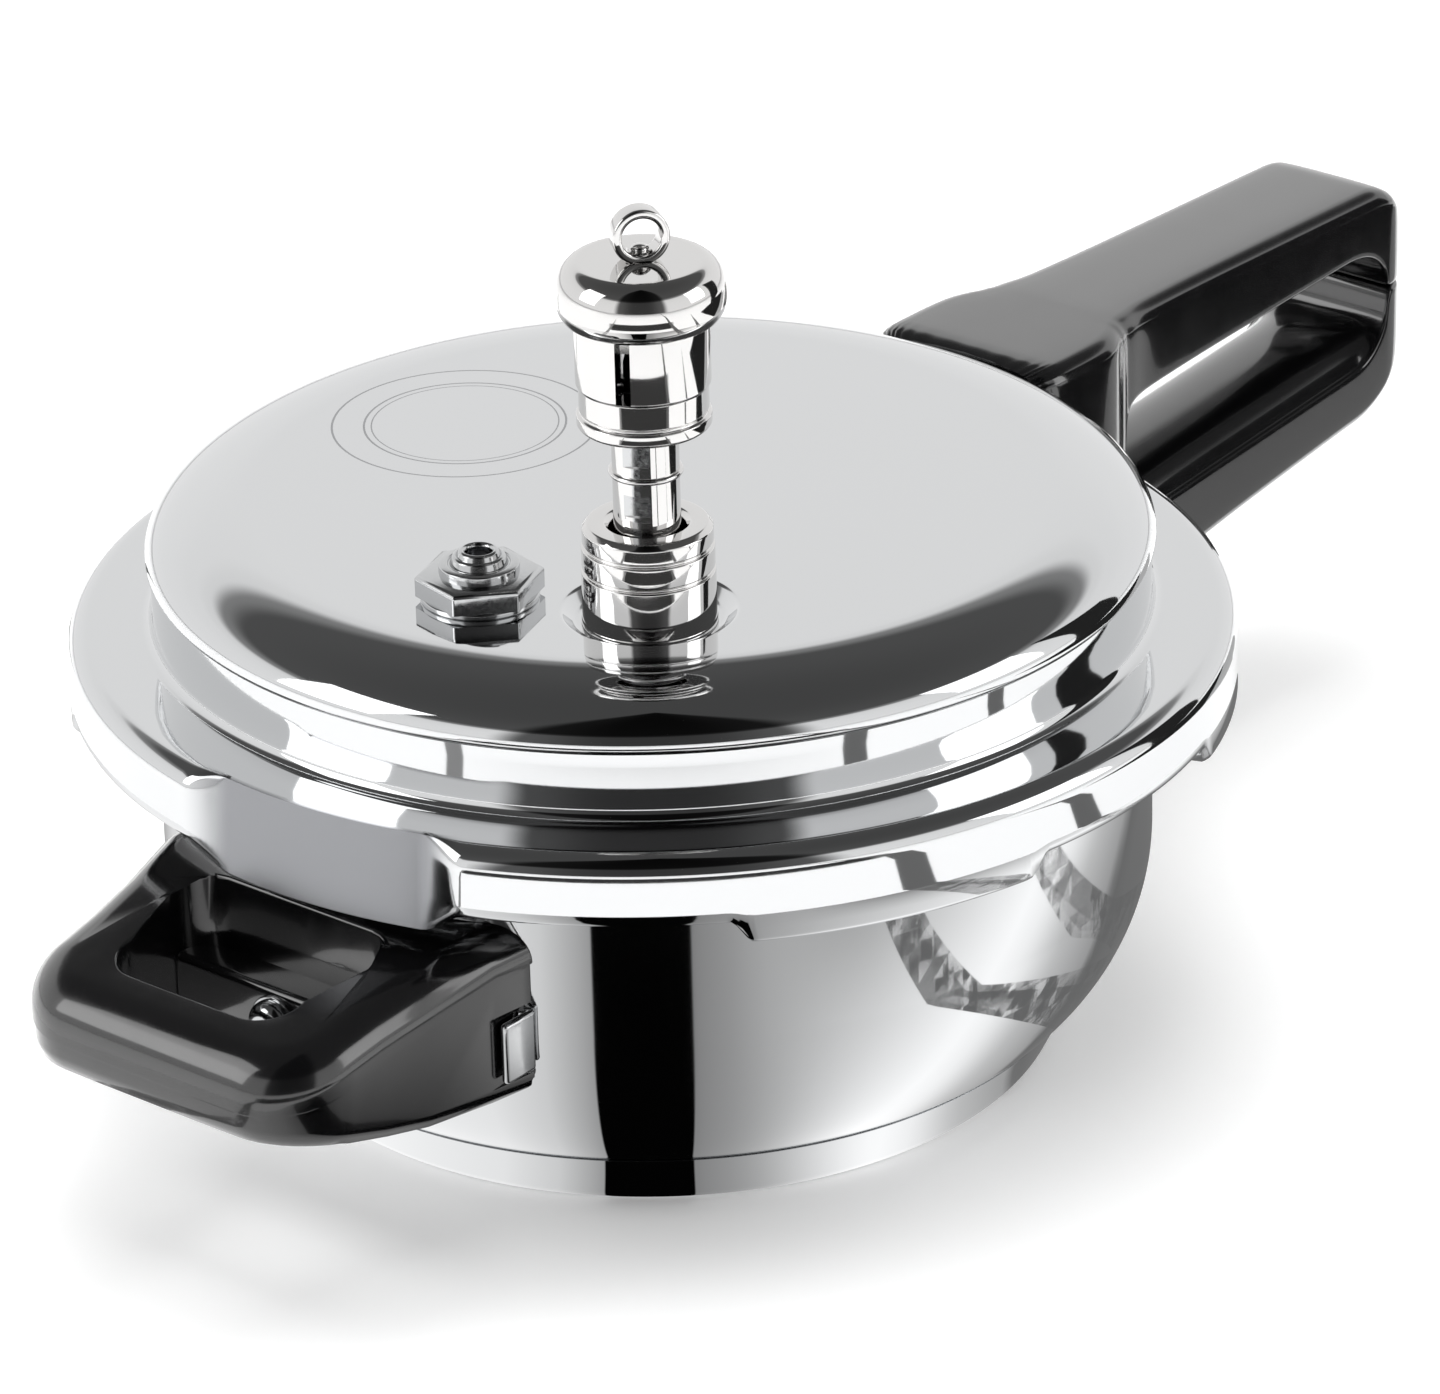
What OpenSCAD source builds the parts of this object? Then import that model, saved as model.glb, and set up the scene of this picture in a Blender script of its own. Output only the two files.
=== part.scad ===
// Stovetop pressure cooker: a low stainless steel pressure pan with an outer bayonet lid,
// a two-part looped long handle, a helper handle, a lift-off weight valve and a safety plug.
// The origin is the centre of the base's underside. +Z is up and +X runs along the long handle.

/* [Pan] */
// Outside diameter of the pan's wall
pan_d = 200; // [170:1:260]
// Height of the pan's rim above the table
rim_h = 86; // [80:1:160]
// Thickness of the pan's steel
pan_t = 1.6; // [1.4:0.1:2]
// Radius of the curve between the wall and the base
bowl_r = 44.4; // [36:0.2:46]
// Width of the pan's flared rim, outside the wall
rim_w = 11.5; // [10:0.5:16]

/* [Base] */
// Height of the base cap's edge
cap_edge_h = 13; // [11:0.5:16]
// Thickness of the base cap's steel
cap_t = 0.8; // [0.6:0.1:1]
// Thickness of the heat-spreading disc
disc_t = 6.5; // [4:0.5:7]
// Radius of the base cap's lower edge
cap_edge_r = 6; // [4:0.5:6]

/* [Lid] */
// Height of the lid's raised centre above its flange
dome_h = 24.8; // [18:0.2:40]
// Width of the lid's shoulder curve
shoulder_w = 21; // [12:1:24]
// Height of the lid's shoulder curve
shoulder_h = 10; // [6:0.5:12]
// Thickness of the lid's steel
lid_t = 1.6; // [1.4:0.1:2]
// Gap between the rim's edge and the lid's skirt
skirt_gap = 4; // [3.6:0.1:5]
// Height of the lid's skirt between its lugs
skirt_h = 14.6; // [12:0.2:18]
// How far each lug hangs below the skirt
lug_drop = 5.1; // [4:0.1:7]
// Number of bayonet lugs
lug_count = 6; // [4:1:8]
// Share of each lug pitch that the lid's lug fills
lug_share = 0.515; // [0.4:0.005:0.53]
// Direction of the middle of one lug, in degrees from the long handle
lug_start = -116.5; // [-180:0.5:180]
// Space for the sealing ring between the rim and the lid
gasket_h = 6.4; // [5:0.1:9]

/* [Long handle] */
// Distance from the pan's wall to the handle's end
handle_len = 142; // [120:0.5:180]
// Width of the grip
grip_w = 33; // [28:1:40]
// Width of the handle's root
root_w = 47; // [42:1:56]
// Thickness of the upper grip
upper_t = 16; // [13:0.5:20]
// Thickness of the lower grip
lower_t = 15.5; // [13:0.5:18]
// Height of the handle's top above the lid's flange
handle_top_h = 19.3; // [18:0.1:26]
// Height of the finger gap at the lower grip's edges
finger_gap = 26; // [24:0.5:34]

// How far the lower grip's rounded top rises above its edges
crown_h = 6.5; // [3:0.5:8]

/* [Helper handle] */
// How far the helper handle stands out from the wall
helper_reach = 52; // [44:1:64]
// Width of the helper handle at the wall
helper_w = 90; // [76:1:100]
// Thickness of the helper handle's outer bar
helper_bar = 10; // [8:0.5:14]
// Height of the helper handle at the wall
helper_h = 36; // [32:0.5:40]

/* [Valves] */
// Distance of the vent from the lid's centre
vent_dist = 58.2; // [40:0.2:60]
// Diameter of the weight's cap
weight_cap_d = 32.8; // [30:0.2:38]
// Height of the weight's cap
weight_cap_h = 11.9; // [9:0.1:16]
// Diameter of the weight's sleeve
sleeve_d = 26; // [24:0.2:28]
// Length of the weight's sleeve below its cap
sleeve_len = 21.8; // [18:0.2:30]
// Diameter of the vent pipe
pipe_d = 13; // [11:0.1:14]
// Height of the vent housing above the lid
housing_h = 18.5; // [14:0.5:24]
// Length of pipe that shows between the housing and the weight
neck_h = 20.3; // [14:0.1:28]
// Distance of the safety plug from the lid's centre
safety_dist = 60.6; // [50:0.2:64]
// Size across the flats of the safety plug's hexagon
safety_af = 22; // [19:0.5:26]

/* [Hidden] */
$fn = 96;

// Clearances: between pieces that move past each other, and between a screw and its hole
gap = 0.4;
screw_gap = 0.25;
eps = 0.01;

// Pan
pan_r = pan_d / 2;
bowl_c = [pan_r - bowl_r, bowl_r + pan_t];          // centre of the bowl's curve: radius, height
floor_z = cap_t + disc_t;                           // underside of the pan's floor
cap_step = cap_t + 0.05;                            // step in the pan's wall that the cap fills
rim_r = pan_r + rim_w;
flare_r = 3;                                        // rounding under the flared rim
notch_r = pan_r + 5.5;                              // edge of the rim between its lugs
lug_pitch = 360 / lug_count;
lug_span = lug_pitch * lug_share;                   // angle that a lid lug fills
rim_span = lug_pitch - lug_span - 4;                // angle that a rim lug fills

// Lid
skirt_in = rim_r + skirt_gap;
skirt_out = skirt_in + lid_t;
flange_z = rim_h + gasket_h + 0.2 + lid_t;          // top of the flange
lid_z = flange_z + dome_h;                          // top of the lid
dome_r = pan_r + 0.8;
wall_in = 0.9;                                      // how far the wall stands in under the shoulder
skirt_z = flange_z - skirt_h;
lug_z = skirt_z - lug_drop;
tab_in = notch_r + 2;                               // inner edge of the lugs' turned-in tabs
rim_low = lug_z + lid_t + gap;                      // lower edge of the rolled rim
edge_r = 4.4;                                       // rounding of the flange's outer edge
press_depth = 3;                                    // how far the lug by the helper handle is pressed in
press_lug = -1;                                     // which lug that is, counted from the first
press_span = 28;
press_a = lug_start + press_lug * lug_pitch + 2 - press_span / 2;

// Vent and safety plug
vent_a = -140;
safety_a = -172.7;
dimple_r = 16.7;
dimple_d = 2.4;
seat_z = lid_z - dimple_d;
stud_r = 5;                                         // threaded stems that pass through the lid
housing_z = lid_z + housing_h;                      // top of the vent housing
sleeve_z = housing_z + neck_h;                      // lower end of the weight's sleeve
cap_z = sleeve_z + sleeve_len;
cap_top = cap_z + weight_cap_h;
pipe_r = pipe_d / 2;
pipe_top = sleeve_z + 8;
web_t = 4;                                          // web in the sleeve that rests on the pin
ring_r = 5.6;                                       // outside radius of the finger ring
ring_hole_r = 3.8;
ring_len = 4.6;
ring_z = cap_top + ring_r - 0.6;
face_turn = -17;                                    // the flats and the steam slot, from the vent's direction
ring_turn = 13;                                     // the finger ring's axis, from the vent's direction

// Long handle
top_z = flange_z + handle_top_h;
end_x = pan_r + handle_len;
upper_z = top_z - upper_t;                          // underside of the upper grip
lower_z = upper_z - finger_gap;                     // top of the lower grip, at its outer end
seam_z = upper_z - 10;                              // where the two grips meet
root_x = pan_r + 32;                                // outer face of the lid handle's root
root_z = lug_z + 5.5;                               // underside of the lid handle's root
tongue_t = 2.5;
tongue_z = rim_h - 30;                              // the pan handle's tongue
screw_r = 2.4;

// Helper handle
helper_x = pan_r + helper_reach;
helper_z = 35;                                      // underside at the wall
strap_z = [41, 53];                                 // lower and upper edges of its strap
strap_t = 1.8;
strap_y = helper_w / 2;                             // outer face of the strap's turned-out ends
helper_screw_z = (strap_z[0] + strap_z[1]) / 2;
pocket_x = pan_r + 15;                              // face that the screw pulls against
boss_len = 5;

// A point list along an arc about c, from angle a to angle b
function arc(c, r, a, b, n = 10) = [for (i = [0:n]) let (t = a + (b - a) * i / n) [c[0] + r * cos(t), c[1] + r * sin(t)]];
// The same along an ellipse with half-widths p and q
function bow(c, p, q, a, b, n = 14) = [for (i = [0:n]) let (t = a + (b - a) * i / n) [c[0] + p * cos(t), c[1] + q * sin(t)]];

// Turns a 2D profile [radius, height] about the Z axis
module turned() { rotate_extrude() children(); }
// A part of a ring, from angle a over span
module ring_part(a, span, r1, r2, z1, z2) {
  rotate([0, 0, a]) rotate_extrude(angle = span) translate([r1, z1]) square([r2 - r1, z2 - z1]);
}
module at_vent() { rotate([0, 0, vent_a]) translate([vent_dist, 0, 0]) children(); }
module at_safety() { rotate([0, 0, safety_a]) translate([safety_dist, 0, 0]) children(); }
// An XZ outline given thickness w across the Y axis
module across(w) { translate([0, w / 2, 0]) rotate([90, 0, 0]) linear_extrude(w) children(); }
// An XY outline raised from z1 to z2
module raised(z1, z2) { translate([0, 0, z1]) linear_extrude(z2 - z1) children(); }

module pan_shell() {
  low = floor_z;
  step_r = bowl_r - cap_step;
  profile = concat(
    [[0, low]],
    arc(bowl_c, step_r, -asin((bowl_c[1] - low) / step_r), -asin((bowl_c[1] - cap_edge_h) / step_r), 6),
    arc(bowl_c, bowl_r, -asin((bowl_c[1] - cap_edge_h) / bowl_r), 0, 16),
    arc([pan_r + flare_r, rim_h - pan_t - flare_r], flare_r, 180, 90, 6),
    [[rim_r - pan_t, rim_h - pan_t], [rim_r - pan_t, rim_low], [rim_r, rim_low]],
    arc([rim_r - 2, rim_h - 2], 2, 0, 90, 5),
    arc([pan_r + flare_r, rim_h - pan_t - flare_r], flare_r + pan_t, 90, 180, 8),
    arc(bowl_c, bowl_r - pan_t, 0, -asin((bowl_c[1] - low - pan_t) / (bowl_r - pan_t)), 16),
    [[0, low + pan_t]]);
  color("silver") difference() {
    turned() polygon(profile);
    for (i = [0:lug_count - 1])
      ring_part(lug_start + (i + 0.5) * lug_pitch - (lug_pitch - rim_span) / 2, lug_pitch - rim_span,
                notch_r, rim_r + 1, rim_low - 1, rim_h + 1);
  }
}

// The base cap's profile, from its rounded lower edge to its rim against the wall
cap_top_z = cap_edge_h - 0.5;
cap_top_r = bowl_c[0] + sqrt(pow(bowl_r, 2) - pow(bowl_c[1] - cap_edge_h, 2)) - 0.25;
cap_flat_r = cap_top_r - 10;
cap_reach = [cap_top_r - cap_flat_r, cap_top_z - cap_edge_r];
cap_turn = atan2(cap_reach[1], cap_reach[0]) - acos(cap_edge_r / norm(cap_reach));

module base_cap() {
  color("silver") turned() polygon(concat(
    [[0, 0]],
    arc([cap_flat_r, cap_edge_r], cap_edge_r, -90, cap_turn, 8),
    [[cap_top_r, cap_top_z], [cap_top_r - cap_t, cap_top_z]],
    arc([cap_flat_r, cap_edge_r], cap_edge_r - cap_t, cap_turn, -90, 8),
    [[0, cap_t]]));
}

module heat_disc() {
  color("gainsboro") translate([0, 0, cap_t]) cylinder(r = cap_flat_r - 0.5, h = disc_t);
}

// A plate that follows the pan's wall, and a tongue for the handle's screw
module pan_handle_bracket() {
  color("silver") difference() {
    union() {
      ring_part(-13, 26, pan_r, pan_r + 1.6, tongue_z - 11, tongue_z + 11);
      translate([pan_r + 1, -9, tongue_z]) cube([26, 18, tongue_t]);
    }
    translate([pan_r + 18, 0, tongue_z - 1]) cylinder(r = screw_r + 0.1, h = tongue_t + 2);
  }
}

module pan_handle() {
  rear = pan_r - 6;
  rise = 5.3;                                       // the lower grip climbs towards its end
  side = concat(
    [[rear, rim_low - 4], [pan_r + 16, rim_low - 4.5], [pan_r + 24, lower_z - rise + 5]],
    [[pan_r + 35, lower_z - rise + 0.6], [pan_r + 50, lower_z - rise], [end_x - 24, lower_z]],
    bow([end_x - 23, lower_z + 14], 13.5, 14, -80, -12, 8),
    [[end_x - 9.5, seam_z - gap / 2], [end_x, seam_z - gap / 2]],
    bow([end_x - 22, lower_z + 12], 22, lower_t + 10.5, 0, -82, 10),
    [[end_x - 70, lower_z - rise - lower_t + 1], [pan_r + 28, lower_z - lower_t - rise - 6]],
    [[rear, lower_z - lower_t - rise - 9]]);
  wide = concat(
    [[rear, -root_w / 2 + 1], [pan_r + 14, -root_w / 2 + 1], [pan_r + 34, -grip_w / 2 - 1.5], [pan_r + 50, -grip_w / 2 - 0.5]],
    bow([end_x - 10, -grip_w / 2 + 10], 10, 10, -90, 0, 6),
    bow([end_x - 10, grip_w / 2 - 10], 10, 10, 0, 90, 6),
    [[pan_r + 50, grip_w / 2 + 0.5], [pan_r + 34, grip_w / 2 + 1.5], [pan_r + 14, root_w / 2 - 1], [rear, root_w / 2 - 1]]);
  climb = atan2(rise, handle_len - 74);
  crown_r = (pow(grip_w / 2, 2) + pow(crown_h, 2)) / (2 * crown_h);
  crown_z = lower_z - rise - 22 * tan(climb);       // the grip's edges, 28 mm out from the wall
  color([0.08, 0.08, 0.08]) difference() {
    union() {
      intersection() {
        across(root_w + 4) polygon(side);
        raised(0, top_z) polygon(wide);
      }
      // the rounded top of the grip
      intersection() {
        translate([pan_r + 28, 0, crown_z + crown_h - crown_r]) rotate([0, 90 - climb, 0])
          cylinder(r = crown_r, h = handle_len - 40);
        across(root_w) polygon([[pan_r + 30, crown_z - 3], [end_x - 15, lower_z - 3],
          [end_x - 15, lower_z + crown_h + 3], [pan_r + 30, crown_z + crown_h + 3]]);
        raised(0, top_z) polygon(wide);
      }
    }
    cylinder(r = pan_r + 0.2, h = rim_h);
    ring_part(-14, 28, pan_r, pan_r + 1.8, tongue_z - 11.3, tongue_z + 11.3);
    translate([pan_r, -9.2, tongue_z - 0.2]) cube([27.3, 18.4, tongue_t + 0.4]);
    translate([pan_r + 18, 0, 0]) cylinder(r = screw_r + screw_gap, h = tongue_z + 8);
    translate([pan_r + 18, 0, 0]) cylinder(r = 5, h = tongue_z - 8);
  }
}

// A pan-head machine screw along +Z, its head below z = 0
module pan_head_screw(len, head_r = 4.75, head_h = 3.2) {
  difference() {
    union() {
      cylinder(r = screw_r, h = len);
      translate([0, 0, -head_h]) rotate_extrude() polygon(concat(
        [[0, head_h], [0, 0]], bow([head_r - 2.6, head_h * 0.8], 2.6, head_h * 0.8, -90, 0, 6), [[head_r, head_h]]));
    }
    for (a = [0, 90]) rotate([0, 0, a]) translate([-2.6, -0.55, -head_h - 0.1]) cube([5.2, 1.1, 1.8]);
  }
}

module pan_handle_screw() {
  color("silver") translate([pan_r + 18, 0, tongue_z - 8]) pan_head_screw(8 + tongue_t + 2);
}

module helper_bracket() {
  a = asin((strap_y - strap_t / 2) / (pan_r + strap_t));
  bend_x = (pan_r + strap_t) * cos(a);
  color("silver") difference() {
    union() {
      ring_part(180 - a, 2 * a, pan_r - 1, pan_r + strap_t, strap_z[0], strap_z[1]);
      for (s = [-1, 1])
        translate([-bend_x - 7.5, s > 0 ? strap_y - strap_t : -strap_y, strap_z[0] - 0.4])
          cube([12, strap_t, strap_z[1] - strap_z[0] + 0.8]);
      translate([-pan_r - 1.1, 0, helper_screw_z]) rotate([0, -90, 0]) cylinder(r = 4.5, h = boss_len - 1.1);
    }
    cylinder(r = pan_r, h = rim_h);
    translate([-pan_r - 1.5, 0, helper_screw_z]) rotate([0, -90, 0]) cylinder(r = screw_r + 0.1, h = boss_len + 2);
  }
}

module helper_handle() {
  rear = pan_r - 12;
  w1 = helper_w / 2;
  w2 = helper_w / 2 - 6;
  top = helper_z + helper_h;
  side = concat(
    [[-rear, top], [-pan_r + 5, top], [-pan_r - 1, top - 4.5], [-pan_r - 8, top - 7.5]],
    bow([-helper_x + 9.5, top - 20.5], 9.5, 9, 90, 270, 14),
    [[-pan_r - 14, helper_z + 1], [-rear, helper_z]]);
  corner = 16;
  wide = concat(
    [[-rear, -w1 + 0.6], [-pan_r - 16, -w1 + 4.5], [-helper_x + corner, -w2]],
    bow([-helper_x + corner, -w2 + corner], corner, corner, 270, 180, 8),
    bow([-helper_x + corner, w2 - corner], corner, corner, 180, 90, 8),
    [[-helper_x + corner, w2], [-pan_r - 16, w1 - 4.5], [-rear, w1 - 0.6]]);
  hole = concat(
    arc([-pan_r - 13, -21], 6, -90, 0, 5), arc([-pan_r - 13, 21], 6, 0, 90, 5),
    arc([-helper_x + helper_bar + 7, 14], 7, 100, 180, 6), arc([-helper_x + helper_bar + 7, -14], 7, 180, 260, 6));
  wall = [[-helper_x, top + 1], [-pan_r - 6.5, top + 1], [-pan_r - 7.5, top - 8], [-pocket_x + 0.8, strap_z[1] + 0.5],
          [-pocket_x, strap_z[1] - 0.5], [-pocket_x, helper_z - 1], [-helper_x, helper_z - 1]];
  color([0.08, 0.08, 0.08]) difference() {
    intersection() {
      across(helper_w + 4) polygon(side);
      raised(helper_z - 5, top + 5) polygon(wide);
    }
    intersection() {
      raised(helper_z - 5, top + 5) polygon(hole);
      across(helper_w) polygon(wall);
    }
    cylinder(r = pan_r + 0.2, h = rim_h);
    ring_part(150, 60, pan_r, pan_r + strap_t + 0.3, strap_z[0] - 0.5, strap_z[1] + 0.5);
    for (s = [-1, 1])
      translate([-pan_r - 2.3, s > 0 ? w1 - strap_t - 0.5 : -w1 - 2, strap_z[0] - 1.5])
        cube([16, strap_t + 2.5, strap_z[1] - strap_z[0] + 3]);
    translate([-pan_r, 0, helper_screw_z]) rotate([0, -90, 0]) cylinder(r = 4.8, h = boss_len + 0.5);
    translate([-pan_r, 0, helper_screw_z]) rotate([0, -90, 0]) cylinder(r = screw_r + screw_gap, h = 20);
  }
}

module helper_washer() {
  color("silver") translate([-pocket_x, 0, helper_screw_z]) rotate([0, -90, 0]) difference() {
    cylinder(r = 5.6, h = 1);
    translate([0, 0, -1]) cylinder(r = screw_r + screw_gap, h = 3);
  }
}

module helper_screw() {
  color("silver") translate([-pocket_x - 1, 0, helper_screw_z]) rotate([0, 90, 0])
    pan_head_screw(pocket_x + 1 - pan_r - 2, 5, 3.3);
}

// Where lug i starts and ends. The lug by the helper handle is pressed inwards and is narrower.
function is_pressed(i) = (i + lug_count) % lug_count == lug_count + press_lug;
function lug_from(i) = is_pressed(i) ? press_a + floor(i / lug_count) * 360 : lug_start + i * lug_pitch - lug_span / 2;
function lug_to(i) = is_pressed(i) ? press_a + press_span + floor(i / lug_count) * 360
  : lug_start + i * lug_pitch + lug_span / 2;

module lid_shell() {
  shoulder = [dome_r - shoulder_w, lid_z - shoulder_h];
  foot = [dome_r - wall_in + 2.5, flange_z + 2.5];
  corner = [skirt_out - edge_r, flange_z - edge_r];
  z0 = corner[1];
  wall_deg = 0.8;                                   // width of the walls that close the pressed lug's ends
  profile = concat(
    [[0, lid_z]],
    bow(shoulder, shoulder_w, shoulder_h, 90, 0, 16),
    arc([dome_r - 1.3, shoulder[1]], 1.3, 0, -72, 4),
    arc(foot, 2.5, 180, 270, 6),
    arc(corner, edge_r, 90, 0, 8),
    [[skirt_out, lug_z], [tab_in, lug_z], [tab_in, lug_z + lid_t], [skirt_in, lug_z + lid_t]],
    arc(corner, edge_r - lid_t, 0, 90, 6),
    arc(foot, 2.5 + lid_t, 270, 180, 6),
    bow(shoulder, shoulder_w - lid_t, shoulder_h - lid_t, 0, 90, 14),
    [[0, lid_z - lid_t]]);
  color("silver") difference() {
    union() {
      difference() {
        turned() polygon(profile);
        for (i = [0:lug_count - 1])
          ring_part(lug_to(i), lug_from(i + 1) - lug_to(i), tab_in - 1, skirt_out + 1, lug_z - 1, skirt_z);
        ring_part(press_a + wall_deg, press_span - 2 * wall_deg, tab_in - 1, skirt_out + 1, lug_z - 1, z0);
      }
      rotate([0, 0, press_a + wall_deg / 2]) rotate_extrude(angle = press_span - wall_deg) polygon([
        [skirt_out - 0.4, z0 + 0.8], [skirt_out - 0.2, z0], [skirt_out - press_depth, z0 - 4.5],
        [skirt_out - press_depth, lug_z + 0.2], [tab_in + 0.2, lug_z + 0.2], [tab_in + 0.2, lug_z + lid_t - 0.1],
        [skirt_in - press_depth, lug_z + lid_t - 0.1], [skirt_in - press_depth, z0 - 4.2], [skirt_in + 0.2, z0 + 0.3],
        [skirt_in + 0.2, z0 + 0.8]]);
      for (a = [press_a + 0.1, press_a + press_span - wall_deg - 0.1])
        ring_part(a, wall_deg, skirt_in - press_depth + 0.4, skirt_in + 0.6, lug_z + 0.4, z0 - 0.6);
      at_vent() translate([0, 0, seat_z - lid_t]) cylinder(r = dimple_r - 0.4, h = dimple_d + 0.8);
    }
    at_vent() translate([0, 0, seat_z]) cylinder(r1 = dimple_r - 2.4, r2 = dimple_r + 0.05, h = dimple_d + 0.05);
    at_vent() translate([0, 0, seat_z - 5]) cylinder(r = stud_r + 0.15, h = 10);
    at_safety() translate([0, 0, lid_z - 5]) cylinder(r = stud_r + 0.15, h = 10);
  }
}

module gasket() {
  z1 = rim_h + 0.2;
  z2 = z1 + gasket_h;
  r1 = pan_r + 3.4;
  r2 = skirt_out - edge_r - 0.3;
  color([0.2, 0.2, 0.2]) turned() difference() {
    translate([r1, z1]) square([r2 - r1, z2 - z1]);
    translate([r1 - 1, (z1 + z2) / 2 - 0.7]) square([5.5, 1.4]);
  }
}

// A strip welded on the flange, whose tongue the lid handle is screwed to
module lid_handle_bracket() {
  color("silver") difference() {
    translate([dome_r + 2.7, -10, flange_z]) cube([root_x - dome_r - 5.7, 20, tongue_t]);
    for (y = [-5.5, 5.5]) translate([pan_r + 23.5, y, flange_z - 1]) cylinder(r = screw_r + 0.1, h = tongue_t + 2);
  }
}

module lid_handle() {
  rear = pan_r - 6;
  sag = 2.2;                                        // the upper grip drops a little towards its end
  side = concat(
    [[rear, top_z - 1.5], [pan_r + 10, top_z], [pan_r + 35, top_z], [end_x - 16, top_z - sag]],
    bow([end_x - 14, top_z - sag - 14], 14, 14, 84, 0, 10),
    [[end_x, seam_z + gap / 2], [end_x - 9.5, seam_z + gap / 2]],
    bow([end_x - 22.5, upper_z - 9], 13, 9.5, 8, 88, 8),
    [[pan_r + 50, upper_z - 3], [root_x + 4, upper_z - 3.4], [root_x + 0.6, upper_z - 6], [root_x - 1, root_z + 2]],
    [[root_x - 3, root_z], [rear, root_z]]);
  wide = concat(
    [[rear, -root_w / 2], [pan_r + 25, -root_w / 2], [pan_r + 31, -root_w / 2 + 2.5], [pan_r + 46, -grip_w / 2 - 0.4]],
    bow([end_x - 9, -grip_w / 2 + 9.5], 9, 9, -90, 0, 6),
    bow([end_x - 9, grip_w / 2 - 9.5], 9, 9, 0, 90, 6),
    [[pan_r + 46, grip_w / 2 + 0.4], [pan_r + 31, root_w / 2 - 2.5], [pan_r + 25, root_w / 2], [rear, root_w / 2]]);
  color([0.08, 0.08, 0.08]) difference() {
    intersection() {
      across(root_w + 4) polygon(side);
      raised(root_z - 5, top_z + 5) polygon(wide);
    }
    cylinder(r = dome_r + 1, h = top_z + 5);
    cylinder(r = skirt_out + gap, h = flange_z + 0.3);
    translate([pan_r, -10.2, flange_z - 0.3]) cube([root_x - pan_r - 2.7, 20.4, tongue_t + 0.5]);
    for (y = [-5.5, 5.5]) translate([pan_r + 23.5, y, 0]) {
      cylinder(r = screw_r + screw_gap, h = flange_z + 8);
      cylinder(r = 5.1, h = flange_z - 7);
    }
  }
}

module lid_handle_screws() {
  color("silver") for (y = [-5.5, 5.5])
    translate([pan_r + 23.5, y, flange_z - 7]) pan_head_screw(7 + tongue_t + 2);
}

// A plated collar in the dimple, with an open top round the pipe
module vent_housing() {
  r = sleeve_d / 2;
  h = housing_z - seat_z;
  color("lightgray") at_vent() translate([0, 0, seat_z]) turned() polygon([
    [pipe_r + 3, 0], [r, 0], [r, h - 10], [r - 0.5, h - 10], [r - 0.5, h - 9.3], [r - 0.1, h - 9.3], [r - 0.1, h - 4.8],
    [r - 0.6, h - 4.8], [r - 0.6, h - 4.1], [r - 0.4, h - 4.1], [r - 0.4, h - 0.8], [r - 1.2, h],
    [pipe_r + 0.8, h], [pipe_r + 0.8, h - 3], [pipe_r + 3, h - 4]]);
}

// The pipe: a flange under the lid's seal, a stem through the lid and a neck that carries the weight
module vent_pipe() {
  low = seat_z - lid_t - 12;
  color("lightgray") at_vent() difference() {
    union() {
      translate([0, 0, low]) cylinder(r = stud_r, h = seat_z - low + 0.5);
      translate([0, 0, seat_z]) cylinder(r = pipe_r + 1.6, h = 3);
      translate([0, 0, seat_z + 3]) cylinder(r = pipe_r, h = pipe_top - seat_z - 8);
      translate([0, 0, pipe_top - 5]) cylinder(r1 = pipe_r - 1, r2 = 3, h = 5);
    }
    translate([0, 0, low - 1]) cylinder(r = 1.6, h = pipe_top - low + 2);
    for (z = [housing_z + 3.2, housing_z + 13.4], s = [-1, 1]) rotate([0, 0, face_turn])
      translate([s > 0 ? pipe_r - 0.6 : -pipe_r - 1.4, -5, z]) cube([2, 10, 4.4]);
  }
}

module vent_snap_ring() {
  color("lightgray") at_vent() translate([0, 0, housing_z + 10.7]) turned() difference() {
    translate([pipe_r + 0.15, 0]) circle(r = 0.6, $fn = 24);
    square([pipe_r + 0.02, 4], center = true);
    translate([-pipe_r, -2]) square([2 * pipe_r + 0.02, 4]);
  }
}

module vent_seal() {
  color([0.2, 0.2, 0.2]) at_vent() translate([0, 0, seat_z - lid_t - 2]) difference() {
    cylinder(r = 9, h = 2);
    translate([0, 0, -1]) cylinder(r = stud_r + 0.1, h = 4);
  }
}

module hex_nut(af, h) {
  difference() {
    cylinder(r = af / sqrt(3), h = h, $fn = 6);
    translate([0, 0, -1]) cylinder(r = stud_r + 0.05, h = h + 2);
  }
}

module vent_nut() {
  color("silver") at_vent() translate([0, 0, seat_z - lid_t - 7.2]) hex_nut(17, 5.2);
}

module safety_washer() {
  color("silver") at_safety() translate([0, 0, lid_z]) difference() {
    cylinder(r = safety_af / 2 + 0.6, h = 1.2);
    translate([0, 0, -1]) cylinder(r = stud_r + 0.1, h = 4);
  }
}

module safety_plug() {
  z = lid_z + 1.2;
  color("silver") at_safety() difference() {
    union() {
      intersection() {
        translate([0, 0, z]) rotate([0, 0, 10]) cylinder(r = safety_af / sqrt(3), h = 4.4, $fn = 6);
        translate([0, 0, z]) cylinder(r1 = safety_af / sqrt(3) + 4, r2 = safety_af / 2 + 0.5, h = 5);
      }
      translate([0, 0, z + 4.4]) cylinder(r = 7.7, h = 1.8);
      translate([0, 0, z + 6.2]) cylinder(r1 = 5.6, r2 = 5, h = 1.6);
      translate([0, 0, z + 7.8]) cylinder(r1 = 4.4, r2 = 3.6, h = 1);
      translate([0, 0, lid_z - lid_t - 9]) cylinder(r = stud_r, h = 12);
    }
    translate([0, 0, lid_z - lid_t - 10]) cylinder(r = 2.6, h = 30);
  }
}

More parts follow.
